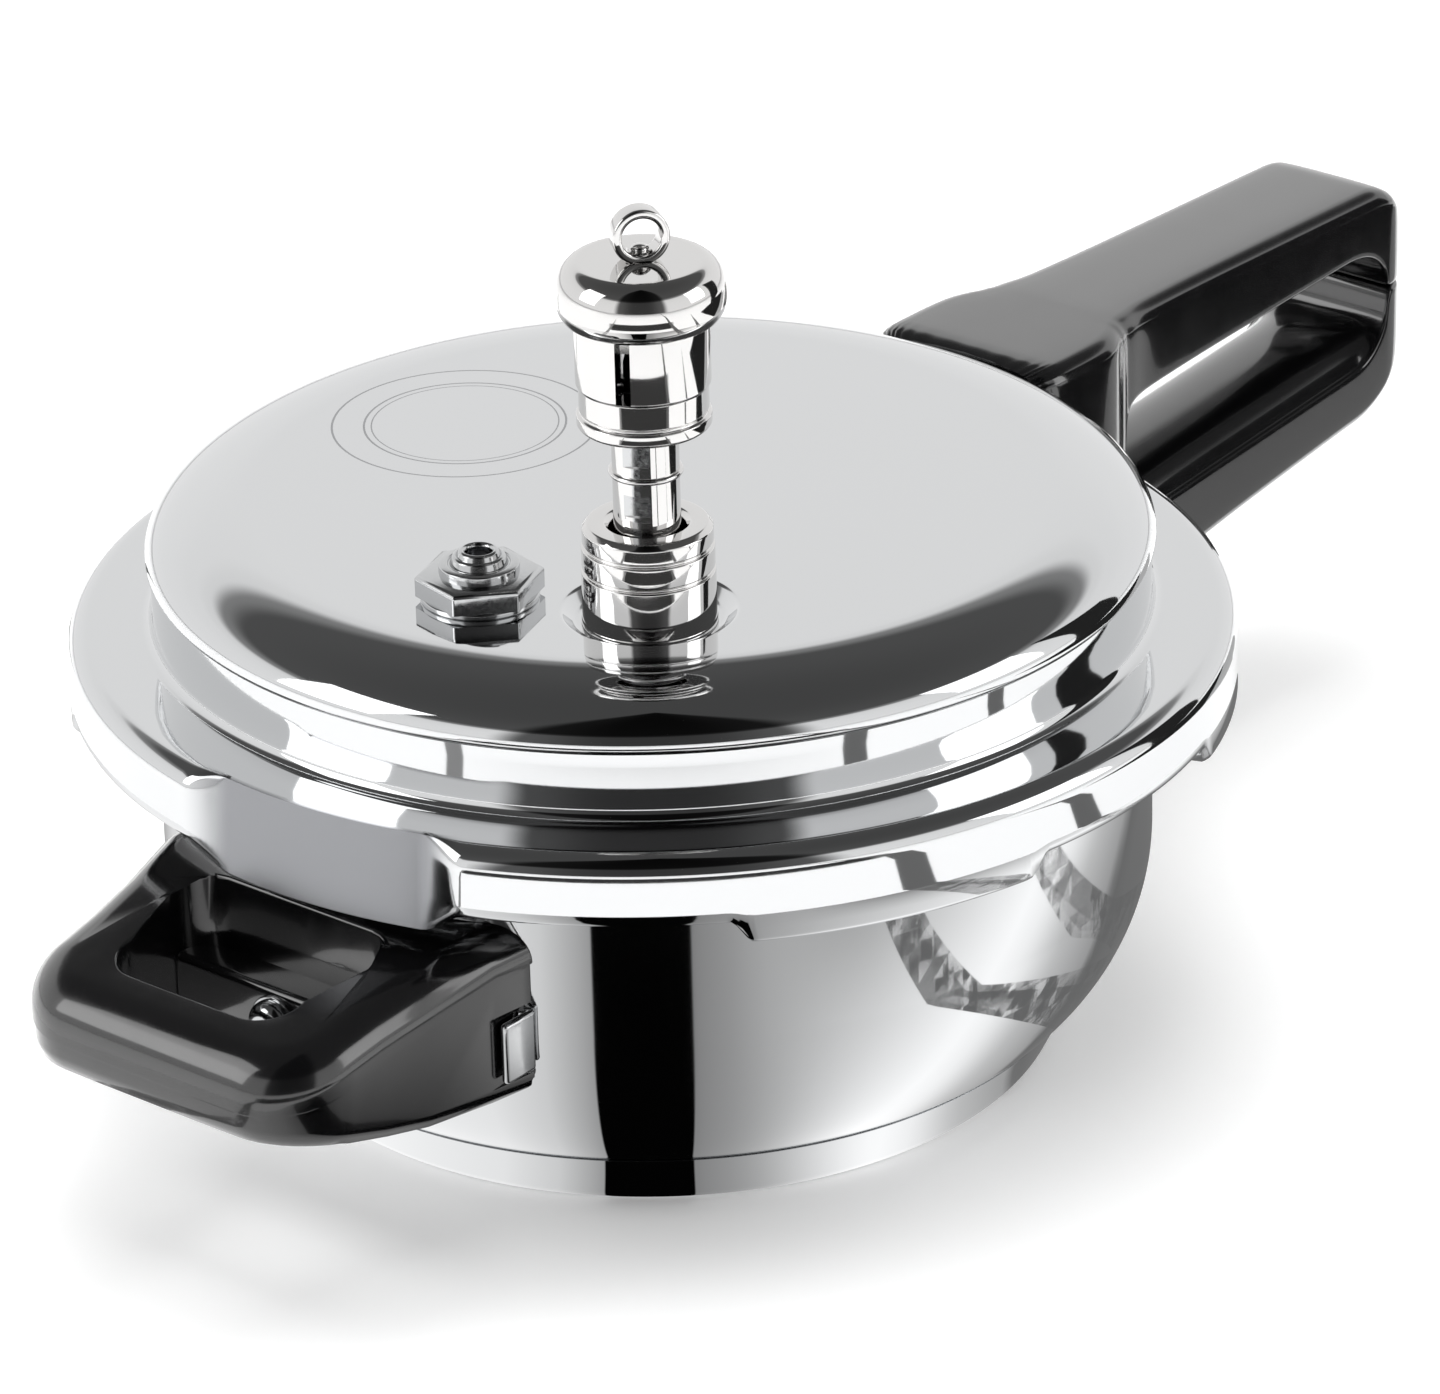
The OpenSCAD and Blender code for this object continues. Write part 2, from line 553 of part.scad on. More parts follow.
module fusible_core() {
  color("darkgray") at_safety() translate([0, 0, lid_z - lid_t - 8]) cylinder(r = 2.6, h = 16.4);
}

module safety_seal() {
  color([0.2, 0.2, 0.2]) at_safety() translate([0, 0, lid_z - lid_t - 2]) difference() {
    cylinder(r = 9, h = 2);
    translate([0, 0, -1]) cylinder(r = stud_r + 0.1, h = 4);
  }
}

module safety_nut() {
  color("silver") at_safety() translate([0, 0, lid_z - lid_t - 6.5]) hex_nut(17, 4.5);
}

// The weight: a sleeve and cap that turn on a pin, which rests on the pipe's mouth
module seat_pin() {
  color("lightgray") at_vent() turned() polygon([
    [0, pipe_top - 1.2], [1.1, pipe_top - 1.2], [1.5, pipe_top + 0.1], [5.6, pipe_top + 0.1], [5.6, pipe_top + 2.1],
    [4, pipe_top + 2.6], [4, cap_z - web_t - 0.05], [2.5, cap_z - web_t - 0.05], [2.5, cap_z + 0.1], [1.8, cap_z + 0.1],
    [1.8, cap_z + 1.1], [2.5, cap_z + 1.1], [2.5, cap_z + 2.6], [0, cap_z + 2.6]]);
}

module pin_clip() {
  color("darkgray") at_vent() translate([0, 0, cap_z + 0.2]) difference() {
    cylinder(r = 4, h = 0.8);
    translate([0, 0, -1]) cylinder(r = 1.85, h = 3);
    translate([0, -1.2, -1]) cube([6, 2.4, 3]);
  }
}

module weight_sleeve() {
  r = sleeve_d / 2;
  color("lightgray") at_vent() difference() {
    translate([0, 0, sleeve_z]) turned() polygon([
      [pipe_r + 1.5, 0], [r - 0.4, 0], [r, 0.4], [r, 2.6], [r - 0.6, 2.9], [r - 0.6, 3.5], [r - 0.5, 3.5], [r - 0.5, 8.6],
      [r, 8.9], [r, sleeve_len], [2.5 + gap / 8, sleeve_len], [2.5 + gap / 8, sleeve_len - web_t],
      [5, sleeve_len - web_t], [pipe_r + 1.5, sleeve_len - web_t - 2]]);
    rotate([0, 0, face_turn]) translate([pipe_r, -1.5, sleeve_z + 8.9]) cube([10, 3, 12.9]);
  }
}

module weight_cap() {
  r = weight_cap_d / 2;
  color("lightgray") at_vent() difference() {
    translate([0, 0, cap_z]) turned() polygon(concat(
      [[4.6, 0], [r - 1.8, 0], [r - 1.2, 0.6]],
      bow([r - 5.2, weight_cap_h - 6], 5.2, 6, -10, 90, 12),
      [[3.2, weight_cap_h], [3.2, weight_cap_h - 5.4], [4.6, weight_cap_h - 5.4]]));
    translate([0, 0, ring_z]) rotate([0, 90, ring_turn]) cylinder(r = ring_r + 0.02, h = ring_len + 0.4, center = true);
  }
}

// A domed stud that clamps the ring on the cap
module ring_stud() {
  z = cap_top - 5.4;
  color("lightgray") at_vent() turned() polygon(concat(
    [[0, z + 0.6], [3.15, z + 0.6], [3.15, cap_top - 0.65], [1.8, cap_top - 0.65], [1.8, ring_z - ring_hole_r + 1.1]],
    bow([0, ring_z - ring_hole_r + 1.1], 1.8, 0.9, 0, 90, 5)));
}

module finger_ring() {
  color("lightgray") at_vent() difference() {
    translate([0, 0, ring_z]) rotate([0, 90, ring_turn]) translate([0, 0, -ring_len / 2]) difference() {
      cylinder(r = ring_r, h = ring_len);
      translate([0, 0, -1]) cylinder(r = ring_hole_r, h = ring_len + 2);
    }
    translate([0, 0, cap_top - 2]) cylinder(r = 1.85, h = 4);
  }
}

pan_shell();
heat_disc();
base_cap();
pan_handle_bracket();
pan_handle();
pan_handle_screw();
helper_bracket();
helper_handle();
helper_screw();
helper_washer();
lid_shell();
gasket();
lid_handle_bracket();
lid_handle();
lid_handle_screws();
vent_housing();
vent_pipe();
vent_snap_ring();
vent_seal();
vent_nut();
safety_plug();
safety_washer();
fusible_core();
safety_seal();
safety_nut();
seat_pin();
pin_clip();
weight_sleeve();
weight_cap();
ring_stud();
finger_ring();
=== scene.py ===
"""Stovetop pressure cooker: finished pieces, materials and a small studio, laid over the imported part."""

import math

import bmesh
import bpy
from mathutils import Matrix, Vector


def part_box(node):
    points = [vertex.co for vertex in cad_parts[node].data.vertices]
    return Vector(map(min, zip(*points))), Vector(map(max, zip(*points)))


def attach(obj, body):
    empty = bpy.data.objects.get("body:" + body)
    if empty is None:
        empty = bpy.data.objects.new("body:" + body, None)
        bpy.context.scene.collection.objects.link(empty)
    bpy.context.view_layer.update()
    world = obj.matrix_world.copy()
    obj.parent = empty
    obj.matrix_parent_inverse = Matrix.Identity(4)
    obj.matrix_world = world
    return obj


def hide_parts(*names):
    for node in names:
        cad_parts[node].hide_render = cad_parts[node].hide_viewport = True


bl_info = {
    "name": "Stovetop pressure cooker",
    "version": (1, 0, 0),
    "blender": (4, 5, 0),
    "location": "View3D > Sidebar > Cooker",
    "description": "Builds a low pressure pan with its bayonet lid, handles and valves",
    "category": "Add Mesh",
}

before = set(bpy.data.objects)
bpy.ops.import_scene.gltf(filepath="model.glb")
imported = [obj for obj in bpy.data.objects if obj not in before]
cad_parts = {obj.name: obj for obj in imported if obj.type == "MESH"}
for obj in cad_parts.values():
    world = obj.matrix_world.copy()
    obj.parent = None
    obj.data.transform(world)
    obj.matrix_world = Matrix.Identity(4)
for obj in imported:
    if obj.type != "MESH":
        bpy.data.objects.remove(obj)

# ---------------------------------------------------------------- sizes taken from the part, in millimetres


def span(node, axis):
    """Lowest and highest value of a CAD node along an axis (0, 1 or 2), in millimetres."""
    low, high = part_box(node)
    return low[axis] * 1000, high[axis] * 1000


PAN_R = 100.0
RIM_R = span("pan_shell", 0)[1]
RIM_Z = span("pan_shell", 2)[1]
FLOOR_Z = span("pan_shell", 2)[0]
SKIRT_R = max(-span("lid_shell", 1)[0], span("lid_shell", 1)[1])
LUG_Z, LID_Z = span("lid_shell", 2)
SHEET = 1.6
SKIRT_IN = SKIRT_R - SHEET
FLANGE_Z = span("lid_handle_bracket", 2)[0]
SKIRT_Z = LUG_Z + 5.1
DOME_R = 100.8
LUGS = 6
PITCH = 360 / LUGS
LUG_SPAN = PITCH * 0.515
LUG_START = -116.5
PRESS_MID = LUG_START - PITCH + 2
PRESS_SPAN = 28.0
VENT = (58.2, -140.0)
SAFETY = (60.6, -172.7)
SEAT_Z = LID_Z - 2.4
HOUSING_Z = span("vent_housing", 2)[1]
SLEEVE_Z = span("weight_sleeve", 2)[0]
CAP_Z, CAP_TOP = span("weight_cap", 2)
TOP_Z = span("lid_handle", 2)[1]
END_X = span("lid_handle", 0)[1]
SEAM_Z = (span("pan_handle", 2)[1] + FLANGE_Z - 6.7) / 2
LOWER_Z = TOP_Z - 42.0
HELPER_X = -span("helper_handle", 0)[0]
HELPER_LOW, HELPER_TOP = span("helper_handle", 2)

# ---------------------------------------------------------------- curves and small shaping tools


def arc(centre, radius, start, end, count=10):
    """Points along an arc, in degrees."""
    return bow(centre, radius, radius, start, end, count)


def bow(centre, wide, high, start, end, count=14):
    """Points along part of an ellipse, in degrees."""
    out = []
    for i in range(count + 1):
        a = math.radians(start + (end - start) * i / count)
        out.append((centre[0] + wide * math.cos(a), centre[1] + high * math.sin(a)))
    return out


def eased(points, radius, closed=False):
    """The same outline with every sharp corner rounded a little, so that its edges catch the light."""
    out = []
    count = len(points)
    for i, p in enumerate(points):
        if not closed and i in (0, count - 1):
            out.append(p)
            continue
        p = Vector(p)
        before = Vector(points[i - 1]) - p
        after = Vector(points[(i + 1) % count]) - p
        if before.length < 1e-6 or after.length < 1e-6 or abs(before.angle(after) - math.pi) < 0.35:
            out.append(tuple(p))
            continue
        a = p + before.normalized() * min(radius, before.length * 0.45)
        b = p + after.normalized() * min(radius, after.length * 0.45)
        for t in (0, 0.25, 0.5, 0.75, 1):
            out.append(tuple(a * (1 - t) ** 2 + p * 2 * t * (1 - t) + b * t * t))
    return out


def blend_step(x):
    """0 below 0, 1 above 1, and an even curve between."""
    x = min(max(x, 0), 1)
    return x * x * (3 - 2 * x)


def between(angle, middle, width, soft):
    """1 inside a sector of the given width and 0 outside it, with soft edges, in degrees."""
    off = abs((angle - middle + 180) % 360 - 180)
    return blend_step((width / 2 + soft / 2 - off) / soft)


def turn(points, steps=96, closed=True, angle=360.0, start=0.0):
    """A bmesh of an outline of (radius, height) points turned about Z."""
    bm = bmesh.new()
    verts = [bm.verts.new((r, 0, z)) for r, z in points]
    edges = [bm.edges.new(pair) for pair in zip(verts, verts[1:])]
    if closed:
        edges.append(bm.edges.new((verts[-1], verts[0])))
    full = abs(angle) >= 360
    if start:
        bmesh.ops.rotate(bm, verts=verts, cent=(0, 0, 0), matrix=Matrix.Rotation(math.radians(start), 3, "Z"))
    if not full:
        bmesh.ops.contextual_create(bm, geom=edges)
    bmesh.ops.spin(
        bm, geom=bm.verts[:] + bm.edges[:] + bm.faces[:], cent=(0, 0, 0), axis=(0, 0, 1),
        angle=math.radians(angle), steps=steps, use_merge=full, use_duplicate=False,
    )
    bmesh.ops.remove_doubles(bm, verts=bm.verts, dist=1e-4)
    bmesh.ops.recalc_face_normals(bm, faces=bm.faces)
    return bm


def move_to(bm, spot, height=0.0, turned=0.0):
    """Stands a piece that was made at the origin at a spot (distance, direction) on the lid."""
    angle = math.radians(spot[1])
    bmesh.ops.rotate(bm, verts=bm.verts, cent=(0, 0, 0), matrix=Matrix.Rotation(angle + math.radians(turned), 3, "Z"))
    bmesh.ops.translate(bm, verts=bm.verts, vec=(spot[0] * math.cos(angle), spot[0] * math.sin(angle), height))
    return bm


def block(low, high, edge=0.5, segments=3):
    """A box between two corners with rounded edges."""
    bm = bmesh.new()
    made = bmesh.ops.create_cube(bm, size=1.0)
    low, high = Vector(low), Vector(high)
    bmesh.ops.scale(bm, verts=made["verts"], vec=high - low)
    bmesh.ops.translate(bm, verts=made["verts"], vec=(low + high) / 2)
    if edge:
        bmesh.ops.bevel(
            bm, geom=bm.edges[:], offset=edge, offset_type="OFFSET", affect="EDGES",
            segments=segments, profile=0.5, material=-1,
        )
    return bm


def add(bm, other):
    """Puts another bmesh's pieces into this one."""
    mesh = bpy.data.meshes.new("joined")
    other.to_mesh(mesh)
    other.free()
    bm.from_mesh(mesh)
    bpy.data.meshes.remove(mesh)
    return bm


def loft(loops):
    """A closed bmesh drawn through loops that all have the same number of points."""
    bm = bmesh.new()
    verts = [bm.verts.new(p) for p in loops[0]]
    edges = [bm.edges.new((verts[i - 1], verts[i])) for i in range(len(verts))]
    bmesh.ops.contextual_create(bm, geom=edges)
    for loop in loops[1:]:
        made = bmesh.ops.extrude_edge_only(bm, edges=edges)
        fresh = [g for g in made["geom"] if isinstance(g, bmesh.types.BMVert)]
        edges = [g for g in made["geom"] if isinstance(g, bmesh.types.BMEdge) and all(v in fresh for v in g.verts)]
        step = {}
        for face in (g for g in made["geom"] if isinstance(g, bmesh.types.BMFace)):
            for edge in face.edges:
                a, b = edge.verts
                if a in fresh and b not in fresh:
                    step[b] = a
                elif b in fresh and a not in fresh:
                    step[a] = b
        verts = [step[v] for v in verts]
        for vert, place in zip(verts, loop):
            vert.co = place
    bmesh.ops.contextual_create(bm, geom=edges)
    bmesh.ops.recalc_face_normals(bm, faces=bm.faces)
    return bm


def as_object(bm, name):
    """A linked object from a bmesh in millimetres."""
    bmesh.ops.scale(bm, verts=bm.verts, vec=(0.001, 0.001, 0.001))
    mesh = bpy.data.meshes.new(name)
    bm.to_mesh(mesh)
    bm.free()
    obj = bpy.data.objects.new(name, mesh)
    bpy.context.scene.collection.objects.link(obj)
    return obj


def settled(obj, levels=0, cutters=()):
    """Applies a subdivision and then cuts the given shapes away, and keeps the result as the object's mesh."""
    if levels:
        smooth = obj.modifiers.new("Smooth", "SUBSURF")
        smooth.levels = smooth.render_levels = levels
    for cutter in cutters:
        cut = obj.modifiers.new("Cut", "BOOLEAN")
        cut.operation, cut.solver, cut.object = "DIFFERENCE", "EXACT", cutter
    depsgraph = bpy.context.evaluated_depsgraph_get()
    mesh = bpy.data.meshes.new_from_object(obj.evaluated_get(depsgraph), depsgraph=depsgraph)
    obj.modifiers.clear()
    old = obj.data
    obj.data = mesh
    bpy.data.meshes.remove(old)
    mesh.name = obj.name
    for cutter in cutters:
        tool = cutter.data
        bpy.data.objects.remove(cutter)
        bpy.data.meshes.remove(tool)
    return obj


def finish_piece(obj, nodes, body, material, sharp=35.0):
    """Shades a piece, gives it its material and makes it ride on its body in place of its CAD nodes."""
    obj.data.materials.clear()
    obj.data.materials.append(material)
    obj.data.polygons.foreach_set("use_smooth", [True] * len(obj.data.polygons))
    obj.data.set_sharp_from_angle(angle=math.radians(sharp))
    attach(obj, body)
    if nodes:
        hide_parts(*nodes)
    return obj


# ---------------------------------------------------------------- materials


def linear(code):
    """A linear colour from an sRGB hex code."""
    parts = [int(code[i : i + 2], 16) / 255 for i in (1, 3, 5)]
    return [p / 12.92 if p <= 0.04045 else ((p + 0.055) / 1.055) ** 2.4 for p in parts] + [1.0]


def add_node(tree, kind, inputs=None, links=None, **settings):
    """Adds a node with its settings, its input values and its incoming links (input: output socket)."""
    node = tree.nodes.new(kind)
    for key, value in settings.items():
        setattr(node, key, value)
    for key, value in (inputs or {}).items():
        node.inputs[key].default_value = value
    for key, socket in (links or {}).items():
        tree.links.new(socket, node.inputs[key])
    return node


def surface(name, slot_name, inputs):
    """A material with one Principled shader. Gives the material, its tree and the shader."""
    material = bpy.data.materials.new(name)
    material.use_nodes = True
    tree = material.node_tree
    tree.nodes.clear()
    shader = add_node(tree, "ShaderNodeBsdfPrincipled", inputs)
    add_node(tree, "ShaderNodeOutputMaterial", links={"Surface": shader.outputs[0]})
    return material, tree, shader


def grain(tree, shader, size_mm, height_mm, stretch=(1, 1, 1), rough=None, detail=2.0, strength=1.0):
    """Fine relief of a given size, and a matching change of roughness between two values."""
    place = add_node(tree, "ShaderNodeTexCoord")
    scale = add_node(tree, "ShaderNodeMapping", {"Scale": stretch}, {"Vector": place.outputs["Object"]})
    speck = add_node(tree, "ShaderNodeTexNoise", {"Scale": 1000 / size_mm, "Detail": detail}, {"Vector": scale.outputs[0]})
    bump = add_node(
        tree, "ShaderNodeBump", {"Distance": height_mm / 1000, "Strength": strength}, {"Height": speck.outputs["Fac"]}
    )
    tree.links.new(bump.outputs[0], shader.inputs["Normal"])
    if rough:
        spread = add_node(
            tree, "ShaderNodeMapRange", {"From Min": 0.3, "From Max": 0.7, "To Min": rough[0], "To Max": rough[1]},
            {"Value": speck.outputs["Fac"]},
        )
        tree.links.new(spread.outputs[0], shader.inputs["Roughness"])
    return speck


def polished_steel(look):
    """Stainless steel, buffed to a mirror: crisp reflections with a very slight ripple from the press."""
    material, tree, shader = surface(
        "polished stainless steel", "polished_steel",
        {"Base Color": linear(look.steel_colour), "Metallic": 1.0, "Roughness": 0.035},
    )
    grain(tree, shader, 45.0, 0.010, rough=(0.025, 0.05), detail=1.0)
    return material


def etched_steel(look):
    """The lid's steel: the same mirror finish with a plain double ring etched on its top as fine frosted lines, and
    painted shade on the pressed facet.
    """
    material, tree, shader = surface(
        "polished stainless steel lid", "polished_steel",
        {"Base Color": linear(look.steel_colour), "Metallic": 1.0, "Roughness": 0.04},
    )
    place = add_node(tree, "ShaderNodeTexCoord")
    centre = add_node(
        tree, "ShaderNodeMapping", {"Location": (-0.0017, -0.0500, -LID_Z / 1000), "Scale": (1, 1, 1)},
        {"Vector": place.outputs["Object"]},
    )
    reach = add_node(tree, "ShaderNodeVectorMath", links={0: centre.outputs[0]}, operation="LENGTH")
    lines = None
    for radius, width in ((0.0270, 0.00022), (0.0205, 0.00022), (0.0190, 0.00014)):
        off = add_node(tree, "ShaderNodeMath", {1: radius}, {0: reach.outputs["Value"]}, operation="SUBTRACT")
        size = add_node(tree, "ShaderNodeMath", links={0: off.outputs[0]}, operation="ABSOLUTE")
        line = add_node(tree, "ShaderNodeMath", {1: width}, {0: size.outputs[0]}, operation="LESS_THAN")
        if lines is None:
            lines = line
        else:
            lines = add_node(tree, "ShaderNodeMath", links={0: lines.outputs[0], 1: line.outputs[0]}, operation="MAXIMUM")
    ripple = add_node(tree, "ShaderNodeTexNoise", {"Scale": 1000 / 50, "Detail": 1.0}, {"Vector": place.outputs["Object"]})
    wavy = add_node(tree, "ShaderNodeMapRange", {"To Min": 0.025, "To Max": 0.06}, {"Value": ripple.outputs["Fac"]})
    frosted = add_node(tree, "ShaderNodeMix", {3: 0.3}, {0: lines.outputs[0], 2: wavy.outputs[0]})
    pressed = add_node(tree, "ShaderNodeAttribute", attribute_name="pressed")
    rubbed = add_node(tree, "ShaderNodeMix", {3: 0.22}, {0: pressed.outputs["Fac"], 2: frosted.outputs[0]})
    tree.links.new(rubbed.outputs[0], shader.inputs["Roughness"])
    tint = add_node(
        tree, "ShaderNodeMix", {6: linear(look.steel_colour), 7: linear("#B2B3B5")}, {0: lines.outputs[0]},
        data_type="RGBA",
    )
    # Painted shade: on the pressed facet the steel colour is darkened towards #8E8F92, standing in for the darker
    # reflection that facet shows.
    pressed_painted_shade = add_node(
        tree, "ShaderNodeMix", {7: linear("#8E8F92")}, {0: pressed.outputs["Fac"], 6: tint.outputs[2]},
        data_type="RGBA",
    )
    tree.links.new(pressed_painted_shade.outputs[2], shader.inputs["Base Color"])
    bump = add_node(tree, "ShaderNodeBump", {"Distance": 0.000008}, {"Height": ripple.outputs["Fac"]})
    tree.links.new(bump.outputs[0], shader.inputs["Normal"])
    return material


def satin_steel(look):
    """Turned and tumbled stainless steel: soft reflections with fine marks."""
    material, tree, shader = surface(
        "satin stainless steel", "satin_steel",
        {"Base Color": linear("#C9CACB"), "Metallic": 1.0, "Roughness": 0.16},
    )
    grain(tree, shader, 0.8, 0.004, rough=(0.09, 0.17), detail=2.0)
    return material


def bright_nickel(look):
    """Brass plated with bright nickel: a hard mirror, slightly warmer than steel."""
    material, tree, shader = surface(
        "bright nickel plate", "bright_plate",
        {"Base Color": linear("#DEDDDC"), "Metallic": 1.0, "Roughness": 0.04},
    )
    grain(tree, shader, 9.0, 0.006, rough=(0.03, 0.07), detail=1.0)
    return material


def black_phenolic(look):
    """Compression-moulded phenolic: near black, glossy skin, with a faint orange-peel that softens highlights."""
    material, tree, shader = surface(
        "black phenolic", "black_phenolic",
        {
            "Base Color": linear(look.handle_colour), "Roughness": 0.16, "IOR": 1.6,
            "Coat Weight": 1.0, "Coat Roughness": 0.06, "Coat IOR": 1.5,
        },
    )
    grain(tree, shader, 6.0, 0.006, rough=(0.13, 0.19), detail=1.5)
    return material


def seal_rubber(look):
    """Black nitrile: dull, with a fine moulded grain."""
    material, tree, shader = surface(
        "nitrile rubber", "seal_rubber", {"Base Color": linear("#2A2A2B"), "Roughness": 0.62, "IOR": 1.52}
    )
    grain(tree, shader, 0.6, 0.02, rough=(0.55, 0.7), detail=3.0)
    return material


def raw_aluminium(look):
    """Rolled aluminium plate, unpolished."""
    material, tree, shader = surface(
        "rolled aluminium", "disc_aluminium", {"Base Color": linear("#C8C9CB"), "Metallic": 1.0, "Roughness": 0.35}
    )
    grain(tree, shader, 1.2, 0.01, stretch=(1, 0.1, 1), rough=(0.3, 0.42), detail=3.0)
    return material


def fusible_alloy(look):
    """Low-melting bismuth alloy: dull grey and slightly grainy where it was cast into the plug."""
    material, tree, shader = surface(
        "cast fusible alloy", "fusible_alloy", {"Base Color": linear("#8E8F93"), "Metallic": 1.0, "Roughness": 0.45}
    )
    grain(tree, shader, 0.7, 0.05, rough=(0.38, 0.55), detail=4.0)
    return material


FINISHES = {
    "polished_steel": polished_steel, "etched_steel": etched_steel, "satin_steel": satin_steel,
    "bright_nickel": bright_nickel, "black_phenolic": black_phenolic, "seal_rubber": seal_rubber,
    "raw_aluminium": raw_aluminium, "fusible_alloy": fusible_alloy,
}
MADE = {}


def finish_of(name):
    """The material of that name, made once."""
    if name not in MADE:
        MADE[name] = FINISHES[name](bpy.context.scene.cooker_look)
    return MADE[name]


def place(bm_or_obj, name, node, body, finish, sharp=35.0):
    """A finished piece from a bmesh or an object, standing for one CAD node."""
    obj = bm_or_obj if isinstance(bm_or_obj, bpy.types.Object) else as_object(bm_or_obj, name)
    finish_piece(obj, [node] if node else [], body, finish_of(finish), sharp)
    return obj


# ---------------------------------------------------------------- settings


class CookerLook(bpy.types.PropertyGroup):
    """Colours of the finishes."""

    steel_colour: bpy.props.StringProperty(
        name="Steel", description="Colour of the polished steel, as an sRGB hex code", default="#DCDDDE"
    )
    handle_colour: bpy.props.StringProperty(
        name="Handles", description="Colour of the moulded handles, as an sRGB hex code", default="#0B0B0C"
    )


class CookerSizes(bpy.types.PropertyGroup):
    """Small shaping sizes that the part leaves to the finish."""

    lug_corner: bpy.props.FloatProperty(
        name="Lug corner", description="Width of the rounded corner at each side of a lug, in degrees",
        default=2.4, min=0.5, max=6.0,
    )
    press_depth: bpy.props.FloatProperty(
        name="Press depth", description="How far the lug by the helper handle is pressed in",
        default=0.003, min=0.0, max=0.004, subtype="DISTANCE", unit="LENGTH",
    )
    grip_edge: bpy.props.FloatProperty(
        name="Grip edge", description="Rounding of the long handle's edges",
        default=0.004, min=0.001, max=0.006, subtype="DISTANCE", unit="LENGTH",
    )


class CookerStage(bpy.types.PropertyGroup):
    """The camera and the light."""

    azimuth: bpy.props.FloatProperty(
        name="Azimuth", description="Direction of the camera round the object",
        default=math.radians(-50.0), subtype="ANGLE", unit="ROTATION",
    )
    elevation: bpy.props.FloatProperty(
        name="Elevation", description="Height of the camera above the horizon",
        default=math.radians(25.44), subtype="ANGLE", unit="ROTATION",
    )
    roll: bpy.props.FloatProperty(
        name="Roll", description="Turn of the camera about its own view",
        default=-0.0247, subtype="ANGLE", unit="ROTATION",
    )
    distance: bpy.props.FloatProperty(
        name="Distance", description="From the camera to the point it looks at",
        default=1.611, min=0.2, subtype="DISTANCE", unit="LENGTH",
    )
    target: bpy.props.FloatVectorProperty(
        name="Target", description="The point that the camera looks at",
        default=(0.0084, -0.0100, 0.072), subtype="TRANSLATION", unit="LENGTH",
    )
    lens: bpy.props.FloatProperty(name="Lens", description="Focal length in millimetres", default=200.0, min=20.0)


# ---------------------------------------------------------------- pan


def pan_profile():
    """The pan's section, from its floor out to the rolled rim and back down the inside."""
    centre = (55.6, 46.0)
    outer = 44.4
    low = FLOOR_Z
    step = outer - 0.85
    def down(radius, z):
        return -math.degrees(math.asin((centre[1] - z) / radius))
    edge_z = 13.0
    points = [(0, low)]
    points += arc(centre, step, down(step, low), down(step, edge_z), 6)
    points += [p for p in arc(centre, outer, down(outer, edge_z), 0, 30)]
    points += [(PAN_R, 62.0), (PAN_R, 74.0)]
    points += arc((PAN_R + 3, RIM_Z - SHEET - 3), 3, 180, 90, 8)
    points += [(RIM_R - SHEET - 0.4, RIM_Z - SHEET), (RIM_R - SHEET, RIM_Z - SHEET - 0.5)]
    points += [(RIM_R - SHEET, 76.7), (RIM_R - SHEET / 2, 76.4), (RIM_R, 76.7)]
    points += arc((RIM_R - 2, RIM_Z - 2), 2, 0, 90, 6)
    points += arc((PAN_R + 3, RIM_Z - SHEET - 3), 3 + SHEET, 90, 180, 8)
    points += arc(centre, outer - SHEET, 0, down(outer - SHEET, low + SHEET), 24)
    points += [(0, low + SHEET)]
    return points


class COOKER_OT_pan(bpy.types.Operator):
    """Pan, its heat disc and its base cap"""

    bl_idname = "cooker.pan"
    bl_label = "Pan"

    def execute(self, context):
        bm = turn(pan_profile(), 360, closed=False)
        notch = PAN_R + 5.5
        for vert in bm.verts:
            radius = math.hypot(vert.co.x, vert.co.y)
            if radius > PAN_R + 3.5 and vert.co.z > 70:
                angle = math.degrees(math.atan2(vert.co.y, vert.co.x))
                away = min(
                    abs((angle - LUG_START - (i + 0.5) * PITCH + 180) % 360 - 180) for i in range(LUGS)
                )
                amount = blend_step((17.45 + 1 - away) / 2)
                want = min(radius, notch + (radius - RIM_R) * 0.15) if radius > notch else radius
                scale = (radius + (want - radius) * amount) / radius
                vert.co.x *= scale
                vert.co.y *= scale
                if radius > RIM_R - 2:
                    vert.co.z += (RIM_Z - SHEET - vert.co.z) * 0.8 * amount if vert.co.z < RIM_Z - SHEET else 0
        place(bm, "pan_shell_finished", "pan_shell", "pan", "polished_steel", 50)

        flat_r, edge_r = cap_flat(), 6.0
        top = (cap_flat() + 10.0, 12.5)
        reach = (top[0] - flat_r, top[1] - edge_r)
        way = math.degrees(math.atan2(reach[1], reach[0]) - math.acos(edge_r / math.hypot(*reach)))
        outline = [(0, 0)] + arc((flat_r, edge_r), edge_r, -90, way, 14) + [top]
        outline += [(top[0] - 0.3, top[1] + 0.12), (top[0] - 0.8, top[1])]
        outline += arc((flat_r, edge_r), edge_r - 0.8, way, -90, 8) + [(0, 0.8)]
        place(turn(outline, 256, closed=False), "base_cap_finished", "base_cap", "pan", "polished_steel", 45)

        disc = eased([(0, 0.8), (flat_r - 0.5, 0.8), (flat_r - 0.5, 7.3), (0, 7.3)], 0.5)
        place(turn(disc, 128, closed=False), "heat_disc_finished", "heat_disc", "pan", "raw_aluminium")
        return {"FINISHED"}


def cap_flat():
    """Radius where the base cap's flat underside ends."""
    return span("base_cap", 0)[1] - 10.0


# ---------------------------------------------------------------- lid


